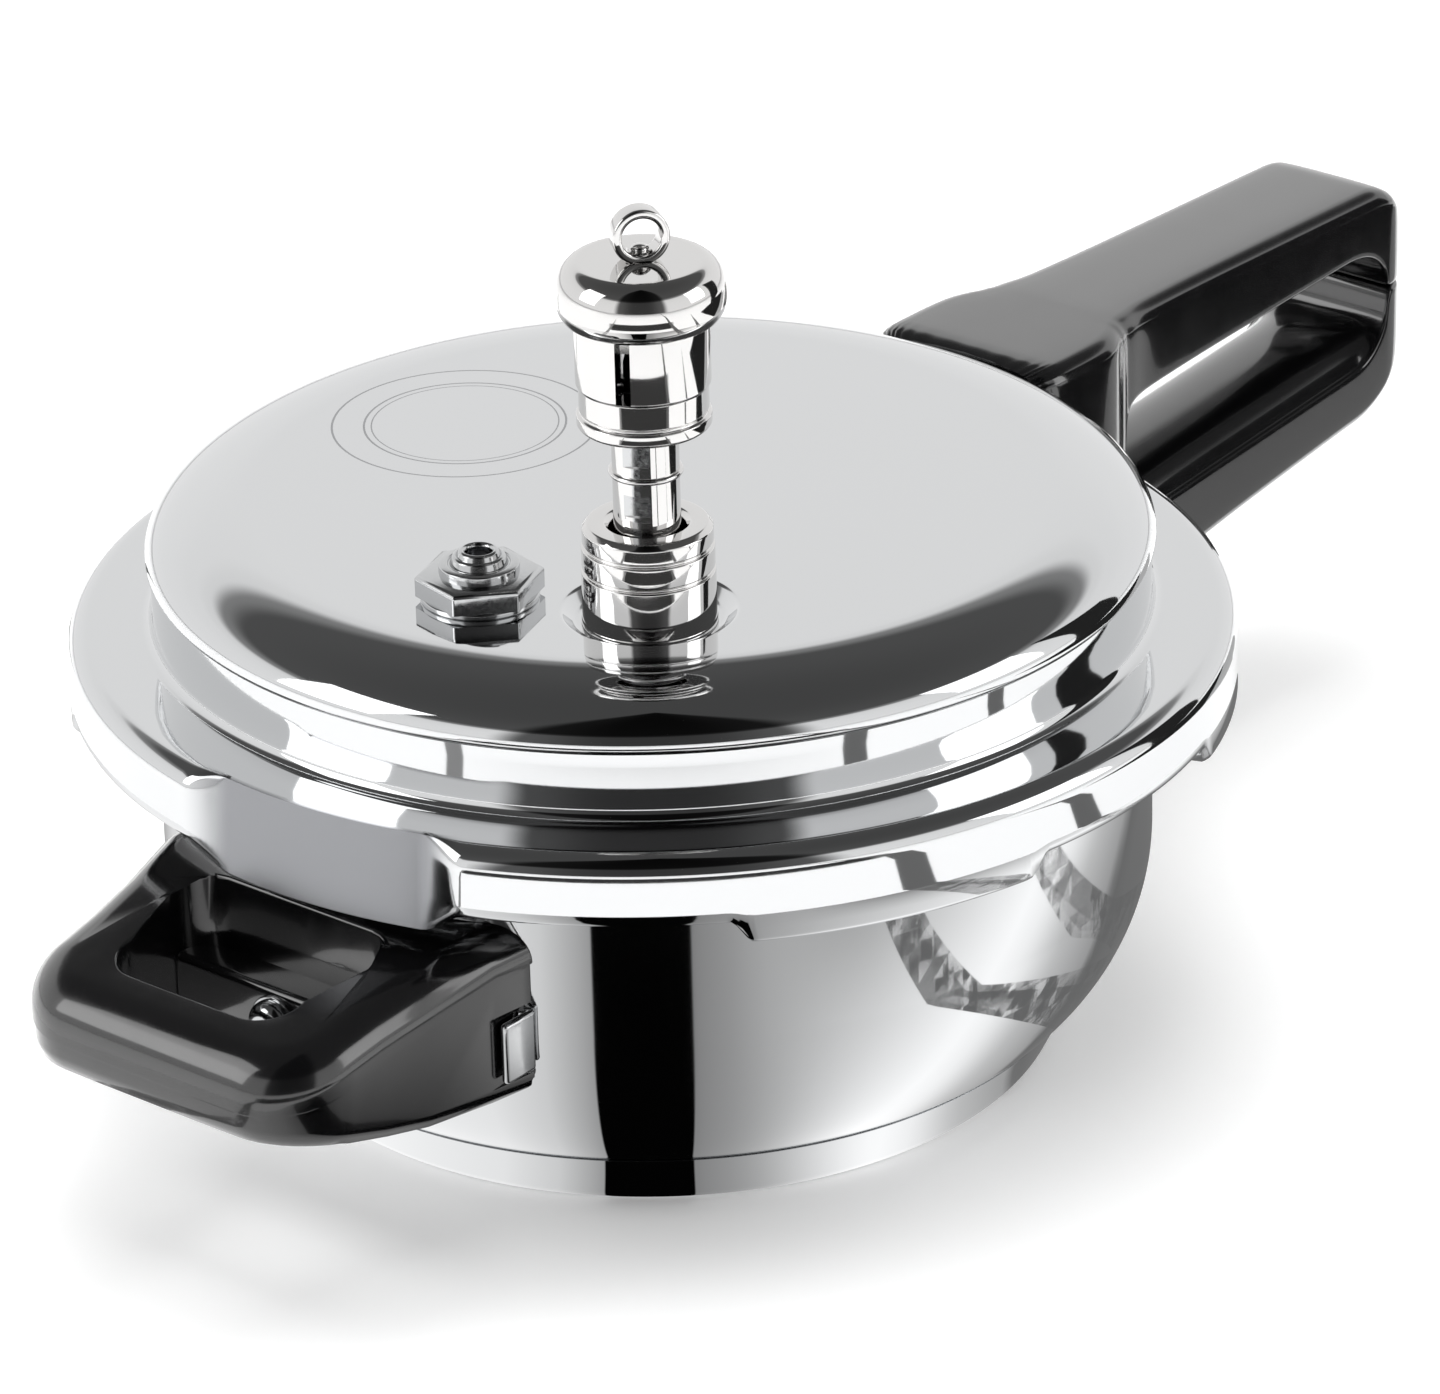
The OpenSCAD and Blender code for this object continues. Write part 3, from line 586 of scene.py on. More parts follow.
def lid_profile():
    """The lid's section from the edge of its flat top out, down the skirt, in under a lug and back up the inside."""
    shoulder = (DOME_R - 21, LID_Z - 10)
    foot = (DOME_R - 0.9 + 2.5, FLANGE_Z + 2.5)
    corner = (SKIRT_R - 4.4, FLANGE_Z - 4.4)
    z = SKIRT_Z
    points = [(shoulder[0] - 0.4, LID_Z)] + bow(shoulder, 21, 10, 90, 0, 36)
    points += arc((DOME_R - 1.3, shoulder[1]), 1.3, -12, -72, 5)
    points += [(DOME_R - 0.95, LID_Z - 14), (DOME_R - 0.9, FLANGE_Z + 6)]
    points += arc(foot, 2.5, 180, 270, 10)
    points += [(SKIRT_R - 9, FLANGE_Z), (SKIRT_R - 6, FLANGE_Z)]
    points += arc(corner, 4.4, 90, 0, 14)
    points += [(SKIRT_R, h) for h in (88.6, 87.4, 86.2, 85, 83.8, 82.6)]
    points += [(SKIRT_R, z + 1.9), (SKIRT_R - 0.12, z + 1.1), (SKIRT_R - 0.45, z + 0.45), (SKIRT_R - 0.95, z + 0.08)]
    points += [(SKIRT_IN - 0.02, z), (SKIRT_IN - 0.02, z + SHEET)]
    points += [(SKIRT_IN, h) for h in (82.6, 83.8, 85, 86.2, 87.4, 88.6)]
    points += arc(corner, 4.4 - SHEET, 0, 90, 8)
    points += arc(foot, 2.5 + SHEET, 270, 180, 8)
    points += bow(shoulder, 21 - SHEET, 10 - SHEET, 0, 90, 20) + [(shoulder[0] - 0.4, LID_Z - SHEET)]
    return points


def shape_skirt(bm, sizes):
    """Draws the lugs down, turns their tabs in and presses one of them inwards."""
    depth = sizes.press_depth * 1000
    # The pressed mask marks the pressed facet. The lid's material uses it for a rougher finish and for painted shade.
    layer = bm.verts.layers.float.new("pressed")
    for vert in bm.verts:
        radius = math.hypot(vert.co.x, vert.co.y)
        z = vert.co.z
        if radius < SKIRT_IN - 5:
            continue
        angle = math.degrees(math.atan2(vert.co.y, vert.co.x))
        lug = max(
            between(angle, LUG_START + i * PITCH, LUG_SPAN, sizes.lug_corner) for i in range(LUGS) if i != LUGS - 1
        )
        pressed = between(angle, PRESS_MID, PRESS_SPAN, 5.0)
        lug = max(lug, pressed)
        inward = 0.0
        if z < SKIRT_Z + 3.1:
            fall = blend_step((SKIRT_Z + 3.1 - z) / 1.2) if z > SKIRT_Z + 1.9 else 1.0
            vert.co.z -= 5.1 * lug * fall
            if radius < SKIRT_IN and z < SKIRT_Z + SHEET + 0.1:
                inward = (SKIRT_IN - 107.5) * blend_step((lug - 0.55) / 0.45)
            elif z < SKIRT_Z + 1.9 and radius > SKIRT_IN + 0.2:
                inward = 1.1 * lug * blend_step((SKIRT_Z + 1.9 - z) / 1.9)
        outside = radius > SKIRT_IN + 0.2 or z > FLANGE_Z - 0.5
        if z > FLANGE_Z - 4.4 and radius > SKIRT_R - 4.4:
            outside = math.hypot(radius - SKIRT_R + 4.4, z - FLANGE_Z + 4.4) > 3.9
        face = SKIRT_R - depth - 1.6 * (min(vert.co.z, FLANGE_Z) - LUG_Z) / (FLANGE_Z - LUG_Z)
        flat = max(0.0, radius - face + (0.0 if outside else SHEET))
        vert[layer] = pressed if outside and flat > 0.02 else 0.0
        inward = inward * (1 - pressed) + max(inward, flat) * pressed
        scale = (radius - inward) / radius
        vert.co.x *= scale
        vert.co.y *= scale


def flat_with_hole(bm, height):
    """Fills the flat between the shell's open edge and the edge of the vent's dimple."""
    edges = [
        e for e in bm.edges
        if e.is_boundary and all(abs(v.co.z - height) < 0.01 for v in e.verts)
    ]
    bmesh.ops.triangle_fill(bm, use_beauty=True, use_dissolve=False, edges=edges, normal=(0, 0, 1))


class COOKER_OT_lid(bpy.types.Operator):
    """Lid shell with its lugs, and the sealing ring"""

    bl_idname = "cooker.lid"
    bl_label = "Lid"

    def execute(self, context):
        bm = turn(lid_profile(), 720, closed=False)
        shape_skirt(bm, context.scene.cooker_sizes)
        dish = [(17.9, LID_Z), (17.5, LID_Z), (17.1, LID_Z - 0.08), (16.8, LID_Z - 0.35), (15.0, SEAT_Z + 0.4), (14.4, SEAT_Z + 0.06)]
        add(bm, move_to(turn(dish + [(13.9, SEAT_Z), (0, SEAT_Z)], 128, closed=False), VENT))
        under = [(19.0, LID_Z - SHEET), (18.6, LID_Z - SHEET), (16.0, SEAT_Z - SHEET + 0.3), (15.4, SEAT_Z - SHEET), (0, SEAT_Z - SHEET)]
        add(bm, move_to(turn(under, 128, closed=False), VENT))
        flat_with_hole(bm, LID_Z)
        flat_with_hole(bm, LID_Z - SHEET)
        bmesh.ops.remove_doubles(bm, verts=bm.verts, dist=1e-4)
        bmesh.ops.recalc_face_normals(bm, faces=bm.faces)
        place(bm, "lid_shell_finished", "lid_shell", "lid", "etched_steel", 60)

        low, high = RIM_Z + 0.2, RIM_Z + 6.6
        ring = [(103.4, low), (112.4, low), (112.4, high), (103.4, high), (103.4, low + 3.9), (107.9, low + 3.9)]
        ring = eased(ring + [(107.9, low + 2.5), (103.4, low + 2.5)], 0.5, closed=True)
        bm = turn(ring, 192)
        for vert in bm.verts:
            radius = math.hypot(vert.co.x, vert.co.y)
            pressed = between(math.degrees(math.atan2(vert.co.y, vert.co.x)), PRESS_MID, PRESS_SPAN + 4, 3.0)
            scale = 1 - pressed * max(0.0, radius - 110.8) / radius
            vert.co.x, vert.co.y = vert.co.x * scale, vert.co.y * scale
        place(bm, "gasket_finished", "gasket", "lid", "seal_rubber")
        return {"FINISHED"}


# ---------------------------------------------------------------- long handle


def grip_loop(x, half, low, high, low_edge, high_edge, crown=0.0):
    """One section of a grip at x: a rounded rectangle with a crown along its top."""
    low_edge = min(low_edge, half * 0.8, (high - low) * 0.45)
    high_edge = min(high_edge, half * 0.8, (high - low) * 0.45)
    points = []
    for side, edge, z, a0 in ((1, low_edge, low + low_edge, -90), (1, high_edge, high - high_edge, 0)):
        for i in range(5):
            a = math.radians(a0 + 22.5 * i)
            points.append((half - edge + edge * math.cos(a), z + edge * math.sin(a)))
    lip = half - high_edge
    for share in (0.96, 0.86, 0.7, 0.4):
        points.append((lip * share, high + crown * (1 - share ** 4)))
    right = points
    middle = [(0, high + crown)]
    left = [(-y, z) for y, z in reversed(right)]
    under = [(0, low)]
    return [Vector((x, y, z)) for y, z in right + middle + left + under]


def plan_half(x, root, edge_x):
    """Half of a grip's width at x, from the broad root to the rounded end."""
    steps = ((99, root), (edge_x - 5, root), (edge_x, root - 0.9), (edge_x + 4, root - 3.4), (edge_x + 9, 18.6))
    steps += ((edge_x + 18, 17.1), (edge_x + 40, 16.6), (END_X - 9, 16.5))
    if x >= END_X - 9:
        return 7.5 + math.sqrt(max(81 - (x - END_X + 9) ** 2, 0.0))
    for (x0, h0), (x1, h1) in zip(steps, steps[1:]):
        if x <= x1:
            return h0 + (h1 - h0) * blend_step((x - x0) / (x1 - x0)) if x1 > x0 else h1
    return 16.5


def upper_low(x):
    """Underside of the upper grip: the root's block, the straight run and the round at the end of the finger gap."""
    inner = END_X - 9.5
    if x >= inner:
        return SEAM_Z + 0.2
    if x > END_X - 22.5:
        return max(SEAM_Z + 1 + 9.5 * math.sqrt(max(1 - ((x - END_X + 22.5) / 13) ** 2, 0)), SEAM_Z + 0.3)
    if x >= 137:
        return 94.1 + (x - 137) / (END_X - 22.5 - 137) * 3.9
    for (x0, z0), (x1, z1) in zip(
        ((99, 80), (130.2, 80), (131.4, 80.8), (132.2, 83.0), (132.9, 88.0), (133.8, 92.4)),
        ((130.2, 80), (131.4, 80.8), (132.2, 83.0), (132.9, 88.0), (133.8, 92.4), (137, 94.1)),
    ):
        if x <= x1:
            return z0 + (z1 - z0) * (x - x0) / (x1 - x0)
    return 94.1


def upper_high(x):
    """Top of the upper grip."""
    if x > END_X - 14:
        return TOP_Z - 16.2 + math.sqrt(max(14 * 14 - (x - END_X + 14) ** 2, 0))
    return TOP_Z - 0.1 - 2.1 * max(x - 135, 0) / (END_X - 149)


def lower_high(x):
    """Top of the lower grip: hidden root, the finger gap's floor and the rise to the seam."""
    inner = END_X - 9.5
    if x >= inner:
        return SEAM_Z - 0.2
    low = LOWER_Z
    if x > END_X - 23:
        return min(low + 14 - 14 * math.sqrt(max(1 - ((x - END_X + 23) / 13.5) ** 2, 0)), SEAM_Z - 0.4)
    steps = ((94, 72.5), (116, 72), (124, low - 0.3), (135, low - 4.7), (150, low - 5.3), (END_X - 23, low))
    for (x0, z0), (x1, z1) in zip(steps, steps[1:]):
        if x <= x1:
            return z0 + (z1 - z0) * (x - x0) / (x1 - x0)
    return low


def lower_low(x):
    """Underside of the lower grip."""
    if x > END_X - 22:
        return LOWER_Z + 12 - 26 * math.sqrt(max(1 - ((x - END_X + 22) / 22) ** 2, 0))
    steps = ((94, 42), (128, 44.9), (148, 48.0), (END_X - 70, 51.8), (END_X - 22, LOWER_Z - 14))
    for (x0, z0), (x1, z1) in zip(steps, steps[1:]):
        if x <= x1:
            return z0 + (z1 - z0) * (x - x0) / (x1 - x0)
    return LOWER_Z - 14


def lower_crown(x):
    """How far the lower grip's rounded top rises above its edges."""
    top = LOWER_Z + 6.5 - 5.3 * (END_X - 24 - x) / (END_X - 174)
    return max(0.0, min(6.5, top - lower_high(x)))


def rod(radius, low, high, where=(0, 0), segments=160):
    """A round cutter that stands along Z."""
    bm = bmesh.new()
    bmesh.ops.create_cone(
        bm, cap_ends=True, segments=segments, radius1=radius, radius2=radius, depth=high - low,
        matrix=Matrix.Translation((where[0], where[1], (low + high) / 2)),
    )
    return as_object(bm, "cutter")


def pipe_along_x(radius, low, high, height):
    """A round cutter that lies along X at a height."""
    bm = bmesh.new()
    lay = Matrix.Translation(((low + high) / 2, 0, height)) @ Matrix.Rotation(math.radians(90), 4, "Y")
    bmesh.ops.create_cone(
        bm, cap_ends=True, segments=32, radius1=radius, radius2=radius, depth=high - low, matrix=lay
    )
    return as_object(bm, "cutter")


def cross_screw(length, head_r, head_h):
    """A pan-head machine screw along Z with its head below zero and a cross recess in it."""
    head = [(0, -head_h)] + bow((head_r - 2.6, -head_h * 0.2), 2.6, head_h * 0.8, -90, 0, 8)
    head += [(head_r, -0.15), (head_r - 0.15, 0), (2.4, 0), (2.4, length - 0.5), (1.9, length), (0, length)]
    body = as_object(turn(head, 48, closed=False), "cutter_body")
    cutters = []
    for turned in (0, 90):
        bm = block((-2.7, -0.6, -head_h - 0.5), (2.7, 0.6, -head_h + 1.9), 0.0)
        for vert in bm.verts:
            if vert.co.z > -head_h:
                vert.co.x *= 0.45
        bmesh.ops.rotate(bm, verts=bm.verts, cent=(0, 0, 0), matrix=Matrix.Rotation(math.radians(turned), 3, "Z"))
        cutters.append(as_object(bm, "cutter"))
    settled(body, 0, cutters)
    bm = bmesh.new()
    bm.from_mesh(body.data)
    bmesh.ops.scale(bm, verts=bm.verts, vec=(1000, 1000, 1000))
    mesh = body.data
    bpy.data.objects.remove(body)
    bpy.data.meshes.remove(mesh)
    return bm


class COOKER_OT_long_handle(bpy.types.Operator):
    """Upper grip on the lid and lower grip on the pan, with their brackets and screws"""

    bl_idname = "cooker.long_handle"
    bl_label = "Long handle"

    def execute(self, context):
        edge = context.scene.cooker_sizes.grip_edge * 1000
        stations = [96, 108, 118, 124, 128, 130.2, 131.4, 132.2, 132.9, 133.8, 137, 142, 150, 162, 180, 198]
        end = END_X
        stations += [end - 28, end - 22.5, end - 18, end - 15, end - 12.6, end - 11, end - 10, end - 9.5]
        stations += [end - 7.5, end - 5.5, end - 3.6, end - 2, end - 0.8, end - 0.15]
        loops = [
            grip_loop(x, plan_half(x, 23.5, 126), upper_low(x), upper_high(x), 1.4, edge, 0.25) for x in stations
        ]
        grip = settled(as_object(loft(loops), "lid_handle_finished"), 2, [
            rod(DOME_R + 0.9, FLANGE_Z - 0.05, TOP_Z + 12, segments=144),
            rod(SKIRT_R + 0.4, 60, FLANGE_Z + 0.3, segments=144),
            as_object(block((90, -10.2, FLANGE_Z - 0.4), (129.2, 10.2, FLANGE_Z + 2.8), 0.0), "cutter"),
            rod(5.1, 70, FLANGE_Z - 7, (123.5, -5.5), 32), rod(5.1, 70, FLANGE_Z - 7, (123.5, 5.5), 32),
            rod(2.65, 70, FLANGE_Z + 8, (123.5, -5.5), 32), rod(2.65, 70, FLANGE_Z + 8, (123.5, 5.5), 32),
        ])
        place(grip, "lid_handle_finished", "lid_handle", "lid", "black_phenolic", 40)

        stations = [92, 104, 116, 124, 130, 135, 142, 150, 162, 180, 198]
        stations += [end - 28, end - 23, end - 19, end - 15.5, end - 12.8, end - 11, end - 10, end - 9.5]
        stations += [end - 7.5, end - 5.5, end - 3.6, end - 2, end - 0.8, end - 0.15]
        loops = []
        for x in stations:
            crown = lower_crown(x)
            loops.append(grip_loop(x, plan_half(x, 22.5, 120), lower_low(x), lower_high(x), 4.2, 1.1, crown))
        tongue = span("pan_handle_bracket", 2)
        middle = (tongue[0] + tongue[1]) / 2
        grip = settled(as_object(loft(loops), "pan_handle_finished"), 2, [
            rod(PAN_R + 0.2, 30, 95, segments=144),
            as_object(block((90, -9.2, middle - 0.3), (127.4, 9.2, middle + 2.8), 0.0), "cutter"),
            rod(5.0, 30, middle - 8, (118, 0), 32), rod(2.65, 30, middle + 8, (118, 0), 32),
        ])
        place(grip, "pan_handle_finished", "pan_handle", "pan", "black_phenolic", 40)

        plate = turn(eased(
            [(100.0, tongue[0]), (101.6, tongue[0]), (101.6, tongue[1]), (100.0, tongue[1])], 0.3, closed=True
        ), 24, angle=26, start=-13)
        add(plate, block((100.5, -9, middle), (127, 9, middle + 2.5), 0.4))
        place(plate, "pan_handle_bracket_finished", "pan_handle_bracket", "pan", "satin_steel")
        screw = cross_screw(12.3, 4.75, 3.2)
        bmesh.ops.translate(screw, verts=screw.verts, vec=(118, 0, middle - 8))
        place(screw, "pan_handle_screw_finished", "pan_handle_screw", "pan", "satin_steel")

        strip = block((103.6, -10, FLANGE_Z), (129, 10, FLANGE_Z + 2.5), 0.4)
        place(strip, "lid_handle_bracket_finished", "lid_handle_bracket", "lid", "satin_steel")
        pair = bmesh.new()
        for y in (-5.5, 5.5):
            screw = cross_screw(11.3, 4.75, 3.2)
            bmesh.ops.translate(screw, verts=screw.verts, vec=(123.5, y, FLANGE_Z - 7))
            add(pair, screw)
        place(pair, "lid_handle_screws_finished", "lid_handle_screws", "lid", "satin_steel")
        return {"FINISHED"}


# ---------------------------------------------------------------- helper handle


def helper_top(x):
    """Top of the helper handle, x counted outwards from the pan's axis."""
    if x < PAN_R + 2:
        return HELPER_TOP
    return HELPER_TOP - 1.0 * blend_step((x - PAN_R - 1) / 8) - 0.18 * (x - PAN_R - 2)


def helper_low(x):
    """Underside of the helper handle."""
    if x < PAN_R + 14:
        return HELPER_LOW + 1.0 * max(0.0, (x - PAN_R + 12) / 26)
    return HELPER_LOW + 1.0 + 8.0 * blend_step((x - PAN_R - 14) / (HELPER_X - PAN_R - 14))


def helper_outline():
    """The helper handle's outer edge seen from above, from the wall on one side round to the other."""
    half = 44.5
    corner = 16.0
    points = [(-86.0, half), (-100.0, half - 1.5), (-116.0, half - 4.3), (-127.0, half - 5.6)]
    points += arc((-HELPER_X + corner, 38.5 - corner), corner, 90, 180, 10)
    points += [(-HELPER_X - 0.15, 12.0)]
    return points + [(x, -y) for x, y in reversed(points)]


def helper_hole():
    """The opening's edge seen from above, in step with the outer edge."""
    points = [(-107.0, 12.0)] + arc((-115.0, 18.5), 8, 0, 86, 5)
    points += arc((-HELPER_X + 20, 14.0), 8, 78, 180, 8)
    points += [(-HELPER_X + 12.0, 5.0)]
    return points + [(x, -y) for x, y in reversed(points)]


class COOKER_OT_helper_handle(bpy.types.Operator):
    """Helper handle with its strap, washer and screw"""

    bl_idname = "cooker.helper_handle"
    bl_label = "Helper handle"

    def execute(self, context):
        bm = bmesh.new()
        rings = []
        for outline in (helper_outline(), helper_hole()):
            verts = [bm.verts.new((x, y, 0)) for x, y in outline]
            rings.append([bm.edges.new((verts[i - 1], verts[i])) for i in range(len(verts))])
        bmesh.ops.bridge_loops(bm, edges=rings[0] + rings[1])
        under = bmesh.ops.duplicate(bm, geom=bm.verts[:] + bm.edges[:] + bm.faces[:])
        under_verts = {g for g in under["geom"] if isinstance(g, bmesh.types.BMVert)}
        for vert in bm.verts:
            x = -vert.co.x
            vert.co.z = helper_low(x) if vert in under_verts else helper_top(x)
        edges = [e for e in bm.edges if e.is_boundary]
        half_loops = {"outer": [], "inner": []}
        for edge in edges:
            mid = (edge.verts[0].co + edge.verts[1].co) / 2
            inside = -HELPER_X + 9 < mid.x < -106.5 and abs(mid.y) < 28.0
            half_loops["inner" if inside else "outer"].append(edge)
        for loop in half_loops.values():
            bmesh.ops.bridge_loops(bm, edges=loop)
        bmesh.ops.recalc_face_normals(bm, faces=bm.faces)
        rims = {"top_out": [], "top_in": [], "low_out": [], "low_in": []}
        for edge in bm.edges:
            if len(edge.link_faces) != 2 or edge.calc_face_angle(0) < math.radians(50):
                continue
            a, b = edge.verts
            if abs(a.co.z - b.co.z) > 4:
                continue
            mid = (a.co + b.co) / 2
            if mid.x > -87:
                continue
            top = mid.z > (helper_low(-mid.x) + helper_top(-mid.x)) / 2
            inside = -HELPER_X + 9 < mid.x < -106.5 and abs(mid.y) < 28.0
            rims[("top_" if top else "low_") + ("in" if inside else "out")].append(edge)
        for key, width, segments in (("top_out", 8.0, 10), ("top_in", 3.9, 8), ("low_out", 3.5, 5), ("low_in", 2.0, 4)):
            live = [e for e in rims[key] if e.is_valid]
            bmesh.ops.bevel(
                bm, geom=live, offset=width, offset_type="OFFSET", affect="EDGES", segments=segments,
                profile=0.5, material=-1, clamp_overlap=True,
            )
        for drop in (0.0, 0.45):
            bmesh.ops.bisect_plane(
                bm, geom=bm.verts[:] + bm.edges[:] + bm.faces[:], dist=1e-4,
                plane_co=(-150, 0, 51 - drop), plane_no=(-0.2, 0, 1),
            )
        bmesh.ops.recalc_face_normals(bm, faces=bm.faces)
        bm.normal_update()
        for vert in bm.verts:
            inside = -HELPER_X + 11 < vert.co.x < -106.5 and abs(vert.co.y) < 27.0
            if not inside and vert.co.z < 50.7 + 0.2 * (vert.co.x + 150) and abs(vert.normal.z) < 0.6:
                vert.co -= vert.normal * 0.45
        strap = span("helper_bracket", 2)
        screw_z = (strap[0] + strap[1]) / 2
        obj = as_object(bm, "helper_handle_finished")
        cutters = [rod(PAN_R + 0.2, 20, 90, segments=144)]
        for side in (-1, 1):
            low_y, high_y = sorted((side * 42.4, side * 52))
            cutters.append(as_object(block(
                (-102.4 - 3.5, low_y, strap[0] - 1.2), (-86, high_y, strap[1] + 1.2), 0.0), "cutter"))
        cutters.append(pipe_along_x(4.8, -105.5, -96, screw_z))
        settled(obj, 0, cutters)
        ledge = block((-115.0, -27.0, HELPER_LOW + 1.2), (-103.0, 27.0, strap[1] + 0.3), 1.6, 5)
        ledge = as_object(ledge, "cutter_body")
        settled(ledge, 0, [pipe_along_x(2.65, -120, -96, screw_z)])
        joined = bmesh.new()
        joined.from_mesh(obj.data)
        joined.from_mesh(ledge.data)
        joined.to_mesh(obj.data)
        joined.free()
        spare = ledge.data
        bpy.data.objects.remove(ledge)
        bpy.data.meshes.remove(spare)
        place(obj, "helper_handle_finished", "helper_handle", "pan", "black_phenolic", 40)

        low, high = strap[0] + 0.4, strap[1] - 0.4
        span_deg = 51.5
        band = turn(eased(
            [(100.0, low), (101.8, low), (101.8, high), (100.0, high)], 0.4, closed=True
        ), 48, angle=span_deg, start=180 - span_deg / 2)
        for side in (-1, 1):
            low_y, high_y = sorted((side * 43.2, side * 45.0))
            add(band, block((-99.2, low_y, strap[0]), (-90.5, high_y, strap[1]), 0.8, 4))
        place(band, "helper_bracket_finished", "helper_bracket", "pan", "satin_steel")

        face = -115.0
        washer = turn(eased([(2.65, 0), (5.6, 0), (5.6, 1.0), (2.65, 1.0)], 0.2, closed=True), 48)
        lay = Matrix.Rotation(math.radians(-90), 3, "Y")
        bmesh.ops.rotate(washer, verts=washer.verts, cent=(0, 0, 0), matrix=lay)
        bmesh.ops.translate(washer, verts=washer.verts, vec=(face, 0, screw_z))
        place(washer, "helper_washer_finished", "helper_washer", "pan", "satin_steel")
        screw = cross_screw(13.8, 5.0, 3.3)
        bmesh.ops.rotate(screw, verts=screw.verts, cent=(0, 0, 0), matrix=Matrix.Rotation(math.radians(24), 3, "Z"))
        bmesh.ops.rotate(
            screw, verts=screw.verts, cent=(0, 0, 0), matrix=Matrix.Rotation(math.radians(90), 3, "Y")
        )
        bmesh.ops.translate(screw, verts=screw.verts, vec=(face - 1.0, 0, screw_z))
        place(screw, "helper_screw_finished", "helper_screw", "pan", "satin_steel")
        return {"FINISHED"}


# ---------------------------------------------------------------- vent, plug and weight


def hexagon(across, low, high, hole, chamfer=0.9):
    """A nut or a plug's flats: a hexagon with chamfered corners."""
    bm = bmesh.new()
    bmesh.ops.create_cone(
        bm, cap_ends=True, segments=6, radius1=across / math.sqrt(3), radius2=across / math.sqrt(3),
        depth=high - low, matrix=Matrix.Translation((0, 0, (low + high) / 2)) @ Matrix.Rotation(math.pi / 6, 4, "Z"),
    )
    top = [e for e in bm.edges if all(v.co.z > high - 0.01 for v in e.verts)]
    bmesh.ops.bevel(
        bm, geom=top, offset=chamfer, offset_type="OFFSET", affect="EDGES", segments=3, profile=0.5, material=-1
    )
    upright = [e for e in bm.edges if abs(e.verts[0].co.z - e.verts[1].co.z) > (high - low) * 0.5]
    bmesh.ops.bevel(
        bm, geom=upright, offset=0.35, offset_type="OFFSET", affect="EDGES", segments=3, profile=0.5, material=-1
    )
    return bm


def thread(radius, low, high, pitch=1.0):
    """Outline of a threaded stem, its grooves drawn as rings."""
    points = [(radius - 0.3, low)]
    z = low + pitch * 0.3
    while z < high - pitch:
        points += [(radius, z + pitch * 0.2), (radius - 0.45, z + pitch * 0.7)]
        z += pitch
    return points + [(radius, high)]


